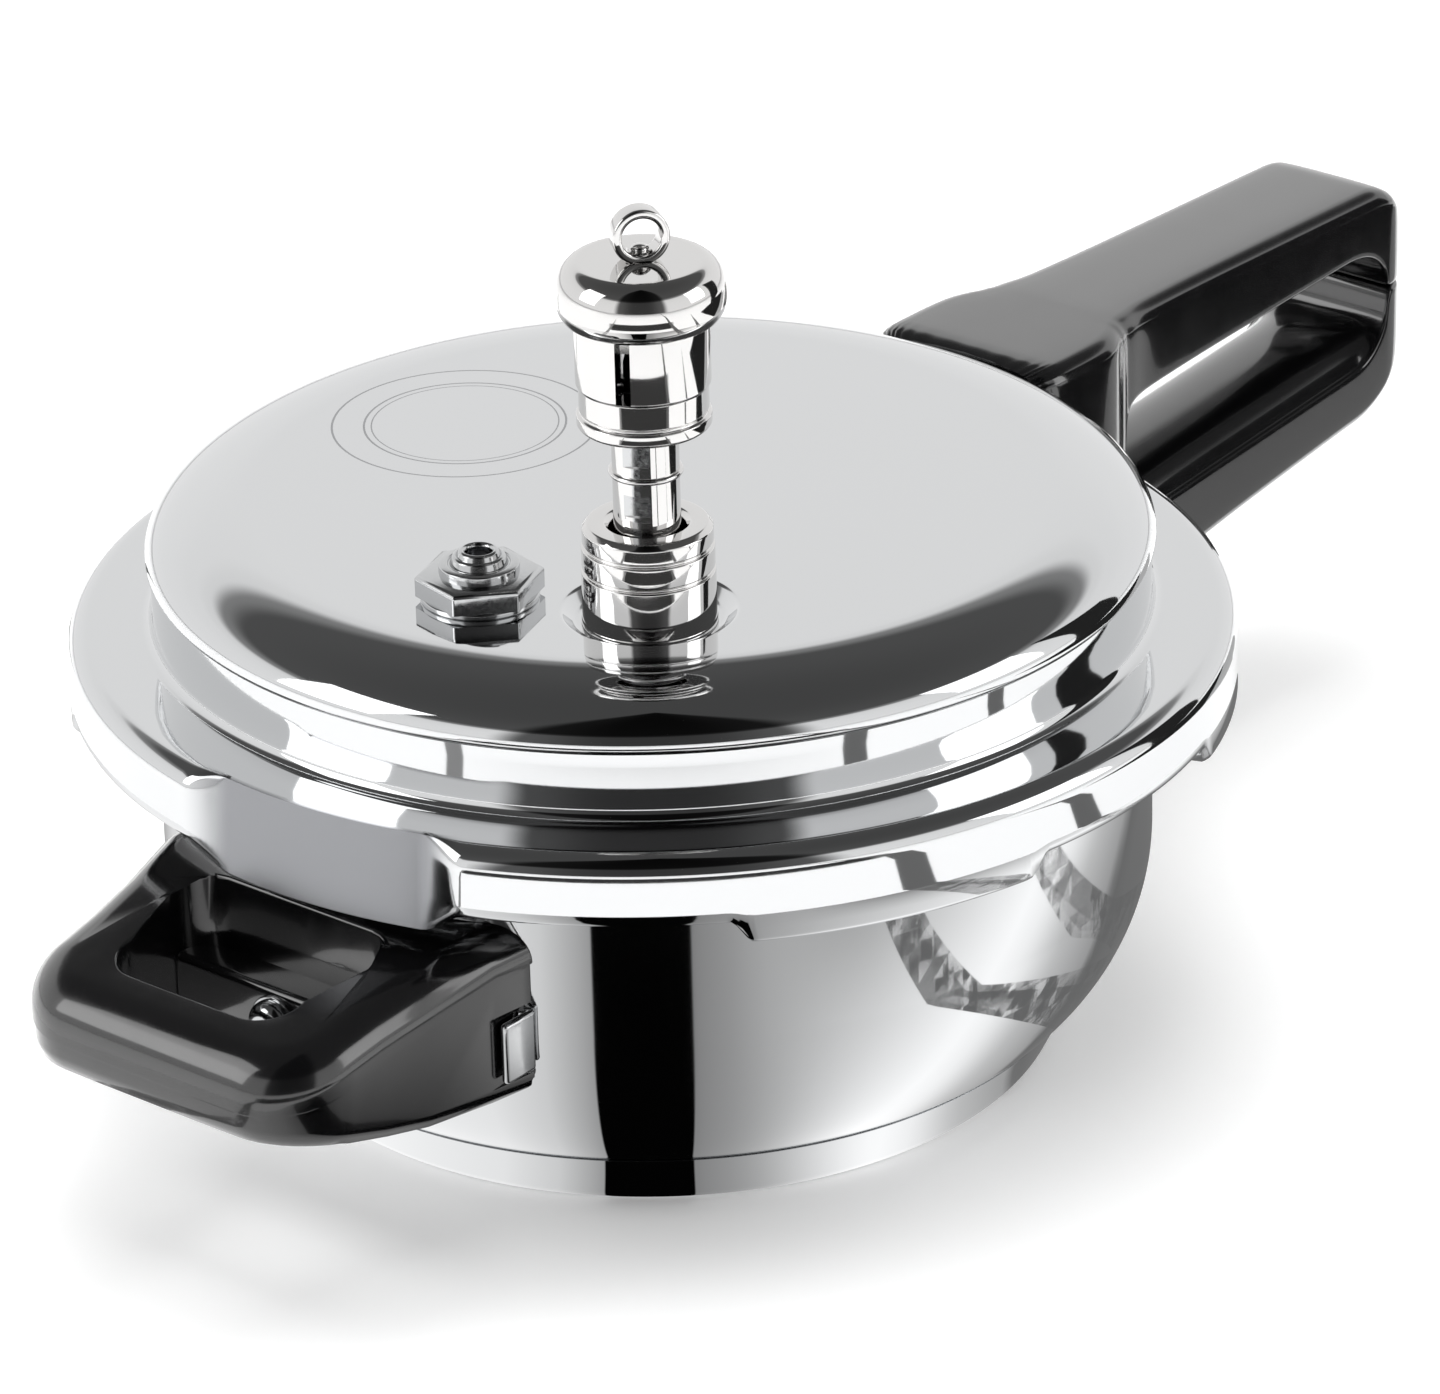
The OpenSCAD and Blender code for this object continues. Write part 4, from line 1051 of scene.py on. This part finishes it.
class COOKER_OT_vent(bpy.types.Operator):
    """Vent housing, pipe, snap ring, seal and nut"""

    bl_idname = "cooker.vent"
    bl_label = "Vent"

    def execute(self, context):
        r, h = 13.0, HOUSING_Z - SEAT_Z
        outline = [
            (9.5, 0), (r + 0.2, 0), (r + 0.2, 0.8), (r, 1.1), (r, h - 9.9), (r - 0.6, h - 9.7), (r - 0.6, h - 9.2),
            (r - 0.1, h - 9.0), (r - 0.1, h - 4.8), (r - 0.7, h - 4.6), (r - 0.7, h - 4.1), (r - 0.3, h - 3.9),
            (r - 0.3, h - 1.0), (r - 1.3, h), (8.4, h), (7.4, h - 1.0), (7.3, h - 3), (9.5, h - 4),
        ]
        bm = turn(eased(outline, 0.25, closed=True), 96)
        place(move_to(bm, VENT, SEAT_Z), "vent_housing_finished", "vent_housing", "lid", "bright_nickel", 50)

        low = SEAT_Z - SHEET - 12
        pipe_top = SLEEVE_Z + 8
        outline = [(1.6, low)] + thread(5.0, low + 0.3, SEAT_Z - SHEET - 0.2) + [(5.0, SEAT_Z)]
        outline += [(8.1, SEAT_Z), (8.1, SEAT_Z + 3), (6.5, SEAT_Z + 3), (6.5, pipe_top - 5)]
        outline += [(5.5, pipe_top - 4.9), (3.0, pipe_top), (1.6, pipe_top)]
        pipe = as_object(turn(eased(outline, 0.3, closed=True), 72), "vent_pipe_finished")
        cutters = []
        for z in (HOUSING_Z + 3.2, HOUSING_Z + 13.4):
            for side in (-1, 1):
                x0, x1 = sorted((side * 5.9, side * 8))
                bm = block((x0, -5, z), (x1, 5, z + 4.4), 0.0)
                bmesh.ops.rotate(
                    bm, verts=bm.verts, cent=(0, 0, 0), matrix=Matrix.Rotation(math.radians(-17), 3, "Z")
                )
                cutters.append(as_object(bm, "cutter"))
        settled(pipe, 0, cutters)
        bm = bmesh.new()
        bm.from_mesh(pipe.data)
        bmesh.ops.scale(bm, verts=bm.verts, vec=(1000, 1000, 1000))
        mesh = pipe.data
        bpy.data.objects.remove(pipe)
        bpy.data.meshes.remove(mesh)
        across = Vector((math.cos(math.radians(-17)), math.sin(math.radians(-17)), 0))
        flats = [f.index for f in bm.faces if abs(f.normal.dot(across)) > 0.99 and abs(f.calc_center_median().dot(across)) > 5]
        pipe = place(move_to(bm, VENT), "vent_pipe_finished", "vent_pipe", "lid", "bright_nickel")
        pipe.data.materials.append(finish_of("satin_steel"))
        for index in flats:
            pipe.data.polygons[index].material_index = 1

        wire = turn(arc((6.65, HOUSING_Z + 10.7), 0.62, 0, 345, 15), 72)
        place(move_to(wire, VENT), "vent_snap_ring_finished", "vent_snap_ring", "lid", "bright_nickel", 60)
        for spot, node, top in ((VENT, "vent_seal", SEAT_Z), (SAFETY, "safety_seal", LID_Z)):
            z = top - SHEET
            seal = turn(eased([(5.1, z - 2), (9, z - 2), (9, z), (5.1, z)], 0.4, closed=True), 64)
            place(move_to(seal, spot), node + "_finished", node, "lid", "seal_rubber")
        for spot, node, top, depth in ((VENT, "vent_nut", SEAT_Z, 7.2), (SAFETY, "safety_nut", LID_Z, 6.5)):
            low = top - SHEET - depth
            nut = hexagon(17, low, top - SHEET - 2, 5)
            bmesh.ops.scale(nut, verts=nut.verts, vec=(1, 1, -1), space=Matrix.Translation((0, 0, -(low + top - SHEET - 2) / 2)))
            bmesh.ops.recalc_face_normals(nut, faces=nut.faces)
            place(move_to(nut, spot), node + "_finished", node, "lid", "satin_steel")
        return {"FINISHED"}


class COOKER_OT_safety_plug(bpy.types.Operator):
    """Hexagonal safety plug with its washer and fusible core"""

    bl_idname = "cooker.safety_plug"
    bl_label = "Safety plug"

    def execute(self, context):
        washer = turn(eased([(5.1, 0), (11.6, 0), (11.6, 1.2), (5.1, 1.2)], 0.35, closed=True), 96)
        place(move_to(washer, SAFETY, LID_Z), "safety_washer_finished", "safety_washer", "lid", "satin_steel")
        z = 1.2
        bm = hexagon(22, z, z + 4.4, 5, 1.1)
        bmesh.ops.rotate(bm, verts=bm.verts, cent=(0, 0, 0), matrix=Matrix.Rotation(math.radians(10), 3, "Z"))
        boss = [(2.6, z + 2), (7.9, z + 2), (7.9, z + 6.2), (6.2, z + 6.4), (6.0, z + 5.9), (5.6, z + 5.9), (5.2, z + 7.6)]
        boss += [(4.5, z + 7.9), (4.3, z + 7.5), (3.9, z + 8.7), (3.2, z + 9.0), (2.6, z + 8.4)]
        add(bm, turn(eased(boss, 0.3, closed=True), 72))
        stem = [(2.6, -10.6)] + thread(5.0, -10.5, -SHEET) + [(5.0, z + 1), (2.6, z + 1)]
        add(bm, turn(stem, 48))
        place(move_to(bm, SAFETY, LID_Z), "safety_plug_finished", "safety_plug", "lid", "satin_steel")
        core = [(0, -9.6), (2.2, -9.6), (2.58, -9.2), (2.58, 6.2), (2.2, 6.7), (0.9, 6.5), (0, 6.2)]
        bm = turn(core, 32, closed=False)
        place(move_to(bm, SAFETY, LID_Z), "fusible_core_finished", "fusible_core", "lid", "fusible_alloy")
        return {"FINISHED"}


class COOKER_OT_weight(bpy.types.Operator):
    """Weight valve: pin, clip, sleeve, cap, stud and finger ring"""

    bl_idname = "cooker.weight"
    bl_label = "Weight"

    def execute(self, context):
        top = SLEEVE_Z + 8
        pin = [(0, top - 1.2), (1.1, top - 1.2), (1.5, top + 0.1), (5.6, top + 0.1), (5.6, top + 2.1), (4, top + 2.6)]
        pin += [(4, CAP_Z - 4.05), (2.5, CAP_Z - 4.05), (2.5, CAP_Z + 0.1), (1.8, CAP_Z + 0.1), (1.8, CAP_Z + 1.1)]
        pin += [(2.5, CAP_Z + 1.1), (2.5, CAP_Z + 2.6), (0, CAP_Z + 2.6)]
        bm = turn(eased(pin, 0.15), 48, closed=False)
        place(move_to(bm, VENT), "seat_pin_finished", "seat_pin", "weight_pin", "satin_steel")
        low = CAP_Z + 0.2
        clip = turn(eased([(1.85, low), (4, low), (4, low + 0.8), (1.85, low + 0.8)], 0.15, closed=True), 40,
                    angle=300, start=30)
        place(move_to(clip, VENT), "pin_clip_finished", "pin_clip", "weight_pin", "satin_steel")

        r = 13.0
        length = CAP_Z - SLEEVE_Z
        outline = [
            (8, 0), (r - 0.6, 0), (r, 0.6), (r, 2.6), (r - 0.7, 2.9), (r - 0.7, 3.4), (r - 0.5, 3.6), (r - 0.5, 8.5),
            (r, 8.9), (r, length), (2.56, length), (2.56, length - 4), (5, length - 4), (8, length - 6),
        ]
        sleeve = as_object(turn(eased(outline, 0.25, closed=True), 96), "weight_sleeve_finished")
        bm = block((6.5, -1.5, 8.9), (16, 1.5, length + 1), 0.0)
        bmesh.ops.rotate(bm, verts=bm.verts, cent=(0, 0, 0), matrix=Matrix.Rotation(math.radians(-17), 3, "Z"))
        settled(sleeve, 0, [as_object(bm, "cutter")])
        bm = bmesh.new()
        bm.from_mesh(sleeve.data)
        bmesh.ops.scale(bm, verts=bm.verts, vec=(1000, 1000, 1000))
        mesh = sleeve.data
        bpy.data.objects.remove(sleeve)
        bpy.data.meshes.remove(mesh)
        place(move_to(bm, VENT, SLEEVE_Z), "weight_sleeve_finished", "weight_sleeve", "weight", "bright_nickel", 50)

        r, h = 16.4, CAP_TOP - CAP_Z
        outline = [(4.6, 0), (r - 2.6, 0), (r - 1.9, 0.25), (r - 1.2, 0.8), (r - 0.5, 2.0), (r - 0.1, 3.6), (r, 5.0)]
        outline += bow((r - 4.5, h - 6.2), 4.5, 6.2, 0, 90, 16)[1:]
        outline += [(r - 4.9, h), (r - 6, h), (7, h), (3.2, h)]
        outline += [(3.2, h - 5.4), (4.6, h - 5.4)]
        bm = turn(outline, 112)
        place(move_to(bm, VENT, CAP_Z), "weight_cap_finished", "weight_cap", "weight", "bright_nickel", 60)

        centre = CAP_TOP + 5.0
        stud = [(0, CAP_TOP - 4.8), (3.15, CAP_TOP - 4.8), (3.15, CAP_TOP - 0.65), (1.8, CAP_TOP - 0.65)]
        stud += [(1.8, centre - 3.8), (2.0, centre - 3.4), (1.7, centre - 3.1), (2.0, centre - 2.8)]
        stud += bow((0, centre - 2.8), 1.8, 0.9, 0, 90, 6)
        bm = turn(stud, 40, closed=False)
        place(move_to(bm, VENT), "ring_stud_finished", "ring_stud", "weight", "bright_nickel")
        ring = eased([(3.8, -2.3), (5.6, -2.3), (5.6, 2.3), (3.8, 2.3)], 0.6, closed=True)
        bm = turn(ring, 72)
        bmesh.ops.rotate(bm, verts=bm.verts, cent=(0, 0, 0), matrix=Matrix.Rotation(math.radians(90), 3, "Y"))
        bmesh.ops.rotate(bm, verts=bm.verts, cent=(0, 0, 0), matrix=Matrix.Rotation(math.radians(13), 3, "Z"))
        place(move_to(bm, VENT, centre), "finger_ring_finished", "finger_ring", "weight", "bright_nickel", 50)
        return {"FINISHED"}


# ---------------------------------------------------------------- stage


def studio_world(view):
    """A pale room with a dark ceiling and a dark gap on the camera's side, which polished steel shows as bands."""
    world = bpy.data.worlds.new("Studio")
    world.use_nodes = True
    tree = world.node_tree
    tree.nodes.clear()
    way = add_node(tree, "ShaderNodeTexCoord")
    parts = add_node(tree, "ShaderNodeSeparateXYZ", links={0: way.outputs["Generated"]})
    height = ramp_of(tree, parts.outputs["Z"], (
        (0.0, 0.95), (0.30, 0.93), (0.46, 0.90), (0.52, 0.84), (0.57, 0.25), (0.63, 0.09), (1.0, 0.07)), "EASE")
    level = add_node(tree, "ShaderNodeVectorMath", {1: (1, 1, 0)}, {0: way.outputs["Generated"]}, operation="MULTIPLY")
    flat = add_node(tree, "ShaderNodeVectorMath", links={0: level.outputs[0]}, operation="NORMALIZE")
    a = math.radians(view)
    toward = add_node(
        tree, "ShaderNodeVectorMath", {1: (math.cos(a), math.sin(a), 0)}, {0: flat.outputs[0]}, operation="DOT_PRODUCT"
    )
    gap = ramp_of(tree, toward.outputs["Value"], ((0.0, 1.0), (0.80, 1.0), (0.88, 0.12), (1.0, 0.05)), "EASE")
    both = add_node(tree, "ShaderNodeMix", {0: 1.0}, {6: height.outputs[0], 7: gap.outputs[0]},
                    data_type="RGBA", blend_type="MULTIPLY")
    room = add_node(tree, "ShaderNodeBackground", {"Strength": 1.0}, {"Color": both.outputs[2]})
    plain = add_node(tree, "ShaderNodeBackground", {"Color": (1, 1, 1, 1), "Strength": 1.0})
    rays = add_node(tree, "ShaderNodeLightPath")
    mix = add_node(tree, "ShaderNodeMixShader", links={
        0: rays.outputs["Is Camera Ray"], 1: room.outputs[0], 2: plain.outputs[0]})
    add_node(tree, "ShaderNodeOutputWorld", links={"Surface": mix.outputs[0]})
    return world


def ramp_of(tree, socket, stops, interpolation="LINEAR"):
    """A grey ramp from (position, value) pairs."""
    node = add_node(tree, "ShaderNodeValToRGB", links={0: socket})
    node.color_ramp.interpolation = interpolation
    elements = node.color_ramp.elements
    while len(elements) > 1:
        elements.remove(elements[-1])
    elements[0].position, elements[0].color = stops[0][0], (stops[0][1],) * 3 + (1,)
    for position, value in stops[1:]:
        elements.new(position).color = (value,) * 3 + (1,)
    return node


def softbox(name, width, height, power, spot, aim, seen_by_gloss=True):
    """A rectangular light at a spot, turned to its aim."""
    data = bpy.data.lights.new(name, "AREA")
    data.shape, data.size, data.size_y, data.energy = "RECTANGLE", width, height, power
    obj = bpy.data.objects.new(name, data)
    bpy.context.scene.collection.objects.link(obj)
    obj.location = spot
    obj.rotation_euler = (Vector(aim) - Vector(spot)).to_track_quat("-Z", "Y").to_euler()
    obj.visible_camera = False
    obj.visible_glossy = seen_by_gloss
    return obj


def card(name, bm, value=None):
    """A card that only reflections see. It glows by its points' own "glow" values, or evenly by the given one."""
    if value is not None:
        layer = bm.verts.layers.float.new("glow")
        for vert in bm.verts:
            vert[layer] = value
    mesh = bpy.data.meshes.new(name)
    bm.to_mesh(mesh)
    bm.free()
    obj = bpy.data.objects.new(name, mesh)
    bpy.context.scene.collection.objects.link(obj)
    material = bpy.data.materials.new(name + " paper")
    material.use_nodes = True
    tree = material.node_tree
    tree.nodes.clear()
    value = add_node(tree, "ShaderNodeAttribute", attribute_name="glow")
    glow = add_node(tree, "ShaderNodeEmission", {"Strength": 1.0}, {"Color": value.outputs["Fac"]})
    add_node(tree, "ShaderNodeOutputMaterial", links={"Surface": glow.outputs[0]})
    mesh.materials.append(material)
    obj.visible_camera = False
    obj.visible_diffuse = False
    obj.visible_shadow = False
    return obj


def along(stops, x):
    """Value at x of a line drawn through (x, value) stops."""
    for (x0, v0), (x1, v1) in zip(stops, stops[1:]):
        if x <= x1:
            return v0 + (v1 - v0) * max(x - x0, 0) / (x1 - x0)
    return stops[-1][1]


def glowing_grid(rows, values):
    """A bmesh through rows of points, with a glow value for each point."""
    bm = bmesh.new()
    layer = bm.verts.layers.float.new("glow")
    made = []
    for row, glows in zip(rows, values):
        made.append([bm.verts.new(p) for p in row])
        for vert, glow in zip(made[-1], glows):
            vert[layer] = glow
    for low, high in zip(made, made[1:]):
        for i in range(len(low) - 1):
            bm.faces.new((low[i], low[i + 1], high[i + 1], high[i]))
    return bm


def floor_ring(inner, outer, start, sweep, stops, height=0.0002):
    """A flat sector of a ring on the floor, whose glow follows stops in degrees from its start."""
    steps = [sweep * i / 76 for i in range(77)]
    rows = [[polar(r, start + t, height) for t in steps] for r in (inner, outer)]
    glows = [along(stops, t) for t in steps]
    return glowing_grid(rows, [glows, glows])


# What the wall shows at each offset from the camera's direction, in degrees, as an sRGB grey
NEAR_GLOW = (
    (-90, 110), (-75, 200), (-60, 235), (-40, 240), (-20, 225), (-13, 200), (-9, 166), (-7.4, 150), (-7.2, 3),
    (3.6, 3), (3.8, 126), (5, 133), (8, 145), (12, 165), (16, 182), (20, 197), (26, 216), (32, 234), (38, 250),
    (42, 240), (44, 230), (50, 184), (56, 160), (59, 148), (61, 100), (66, 104), (110, 96),
)


def reflected_fan(eye, view, stops):
    """A card on the floor before the pan's wall, laid out so that each upright strip of the wall shows one value.

    Each point lies where the wall at one offset and height sends the line of sight from the camera.
    """
    offsets = sorted({float(d) for d in range(-90, 91, 2)} | {x for x, _ in stops})
    rows, values = [], []
    for height in (0, 14, 18, 22, 25, 28, 32, 36, 40, 43, 46, 50, 55, 60, 65, 70, 76, 82):
        tilt = math.asin(max(46 - max(height, 14), 0) / 44.4)
        radius = 55.6 + 44.4 * math.cos(tilt)
        row, glows = [], []
        for offset in offsets:
            if height:
                start = Vector(polar(radius / 1000, view + offset, height / 1000))
                normal = Vector(polar(math.cos(tilt), view + offset, -math.sin(tilt)))
                sight = (start - eye).normalized()
                gone = sight - 2 * sight.dot(normal) * normal
                row.append(start + gone * ((start.z - 0.0003) / -gone.z))
            else:
                row.append(Vector(polar(0.0771, view + offset, 0.0003)))
            drift = (max(height, 14) - 42) * 0.45 * blend_step((offset - 10) / 16)
            grey = along(stops, offset - drift) / 255
            glows.append(((grey + 0.055) / 1.055) ** 2.4 / 0.72 if grey > 0.04 else 0.001)
        rows.append(row)
        values.append(glows)
    return glowing_grid(rows, values)


def polar(radius, degrees, z):
    """A point round the object from a radius, a direction and a height, in metres."""
    a = math.radians(degrees)
    return (radius * math.cos(a), radius * math.sin(a), z)


class COOKER_OT_stage(bpy.types.Operator):
    """Floor, studio light and camera"""

    bl_idname = "cooker.stage"
    bl_label = "Stage"

    def execute(self, context):
        scene = context.scene
        stage = scene.cooker_stage
        scene.world = studio_world(math.degrees(stage.azimuth) - 90)
        scene.view_settings.view_transform = "Standard"
        scene.view_settings.look = "None"

        bm = bmesh.new()
        bmesh.ops.create_circle(bm, cap_ends=True, segments=96, radius=6.0)
        mesh = bpy.data.meshes.new("floor")
        bm.to_mesh(mesh)
        bm.free()
        floor = bpy.data.objects.new("floor", mesh)
        scene.collection.objects.link(floor)
        floor.location.z = -0.0002
        paper = bpy.data.materials.new("white background paper")
        paper.use_nodes = True
        shader = paper.node_tree.nodes["Principled BSDF"]
        shader.inputs["Base Color"].default_value = linear("#F7F7F7")
        shader.inputs["Roughness"].default_value = 0.9
        shader.inputs["Specular IOR Level"].default_value = 0.1
        shader.inputs["Emission Color"].default_value = (1, 1, 1, 1)
        shader.inputs["Emission Strength"].default_value = 0.22
        floor.data.materials.append(paper)

        view = math.degrees(stage.azimuth) - 90
        softbox("top_light", 2.2, 2.2, 62, (0, 0, 2.4), (0, 0, 0), seen_by_gloss=False)
        softbox("left_box", 1.0, 1.4, 9, polar(1.9, view - 75, 1.1), (0, 0, 0.08))
        softbox("right_box", 1.0, 1.2, 6, polar(2.1, view + 80, 0.9), (0, 0, 0.08))
        camera = bpy.data.objects.new("camera", bpy.data.cameras.new("camera"))
        scene.collection.objects.link(camera)
        camera.data.lens, camera.data.sensor_width = stage.lens, 36.0
        a, e = stage.azimuth, stage.elevation
        back = Vector((math.sin(a) * math.cos(e), -math.cos(a) * math.cos(e), math.sin(e)))
        right = Vector((math.cos(a), math.sin(a), 0))
        up = back.cross(right)
        right = right * math.cos(stage.roll) + up * math.sin(stage.roll)
        up = back.cross(right)
        turned = Matrix((right, up, back)).transposed().to_4x4()
        camera.matrix_world = Matrix.Translation(Vector(stage.target) + back * stage.distance) @ turned
        camera.data.clip_start, camera.data.clip_end = 0.05, 50
        scene.camera = camera

        eye = camera.matrix_world.translation
        card("near_card", reflected_fan(eye, view, NEAR_GLOW))
        card("far_card", floor_ring(0.312, 0.48, view - 38, 76, ((0, 0.97), (4, 0.05), (72, 0.05), (76, 0.97))))
        for name, corners, value in (
            ("side_card", ((0.235, -0.131, 0.0001), (0.235, -0.45, 0.0001), (0.75, -0.45, 0.0001),
                           (0.75, -0.131, 0.0001)), 0.02),
            ("side_grey", ((0.235, -0.04, 0.0001), (0.235, -0.1305, 0.0001), (0.6, -0.1305, 0.0001),
                           (0.6, -0.04, 0.0001)), 0.5),
            ("side_flag", ((0.5, -0.451, 0.0), (1.15, -0.451, 0.0), (1.15, -0.451, 0.55), (0.5, -0.451, 0.55)), 0.02),
        ):
            bm = bmesh.new()
            bmesh.ops.contextual_create(bm, geom=[bm.verts.new(c) for c in corners])
            card(name, bm, value)
        return {"FINISHED"}


class COOKER_PT_panel(bpy.types.Panel):
    """Lists the builders and their settings"""

    bl_idname = "COOKER_PT_panel"
    bl_label = "Pressure cooker"
    bl_space_type = "VIEW_3D"
    bl_region_type = "UI"
    bl_category = "Cooker"

    def draw(self, context):
        layout = self.layout
        for group in (context.scene.cooker_look, context.scene.cooker_sizes, context.scene.cooker_stage):
            for key in group.__annotations__:
                layout.prop(group, key)
        for builder in BUILDERS:
            layout.operator(builder.bl_idname)


BUILDERS = (
    COOKER_OT_pan, COOKER_OT_lid, COOKER_OT_long_handle, COOKER_OT_helper_handle,
    COOKER_OT_vent, COOKER_OT_safety_plug, COOKER_OT_weight, COOKER_OT_stage,
)
GROUPS = {"cooker_look": CookerLook, "cooker_sizes": CookerSizes, "cooker_stage": CookerStage}
CLASSES = tuple(GROUPS.values()) + BUILDERS + (COOKER_PT_panel,)


def register():
    for cls in CLASSES:
        bpy.utils.register_class(cls)
    for name, group in GROUPS.items():
        setattr(bpy.types.Scene, name, bpy.props.PointerProperty(type=group))


def unregister():
    for name in GROUPS:
        delattr(bpy.types.Scene, name)
    for cls in reversed(CLASSES):
        bpy.utils.unregister_class(cls)


def main():
    """Builds every piece."""
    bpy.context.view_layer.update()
    register()
    bpy.ops.cooker.pan()
    bpy.ops.cooker.lid()
    bpy.ops.cooker.long_handle()
    bpy.ops.cooker.helper_handle()
    bpy.ops.cooker.vent()
    bpy.ops.cooker.safety_plug()
    bpy.ops.cooker.weight()
    bpy.ops.cooker.stage()


if __name__ == "__main__":
    main()
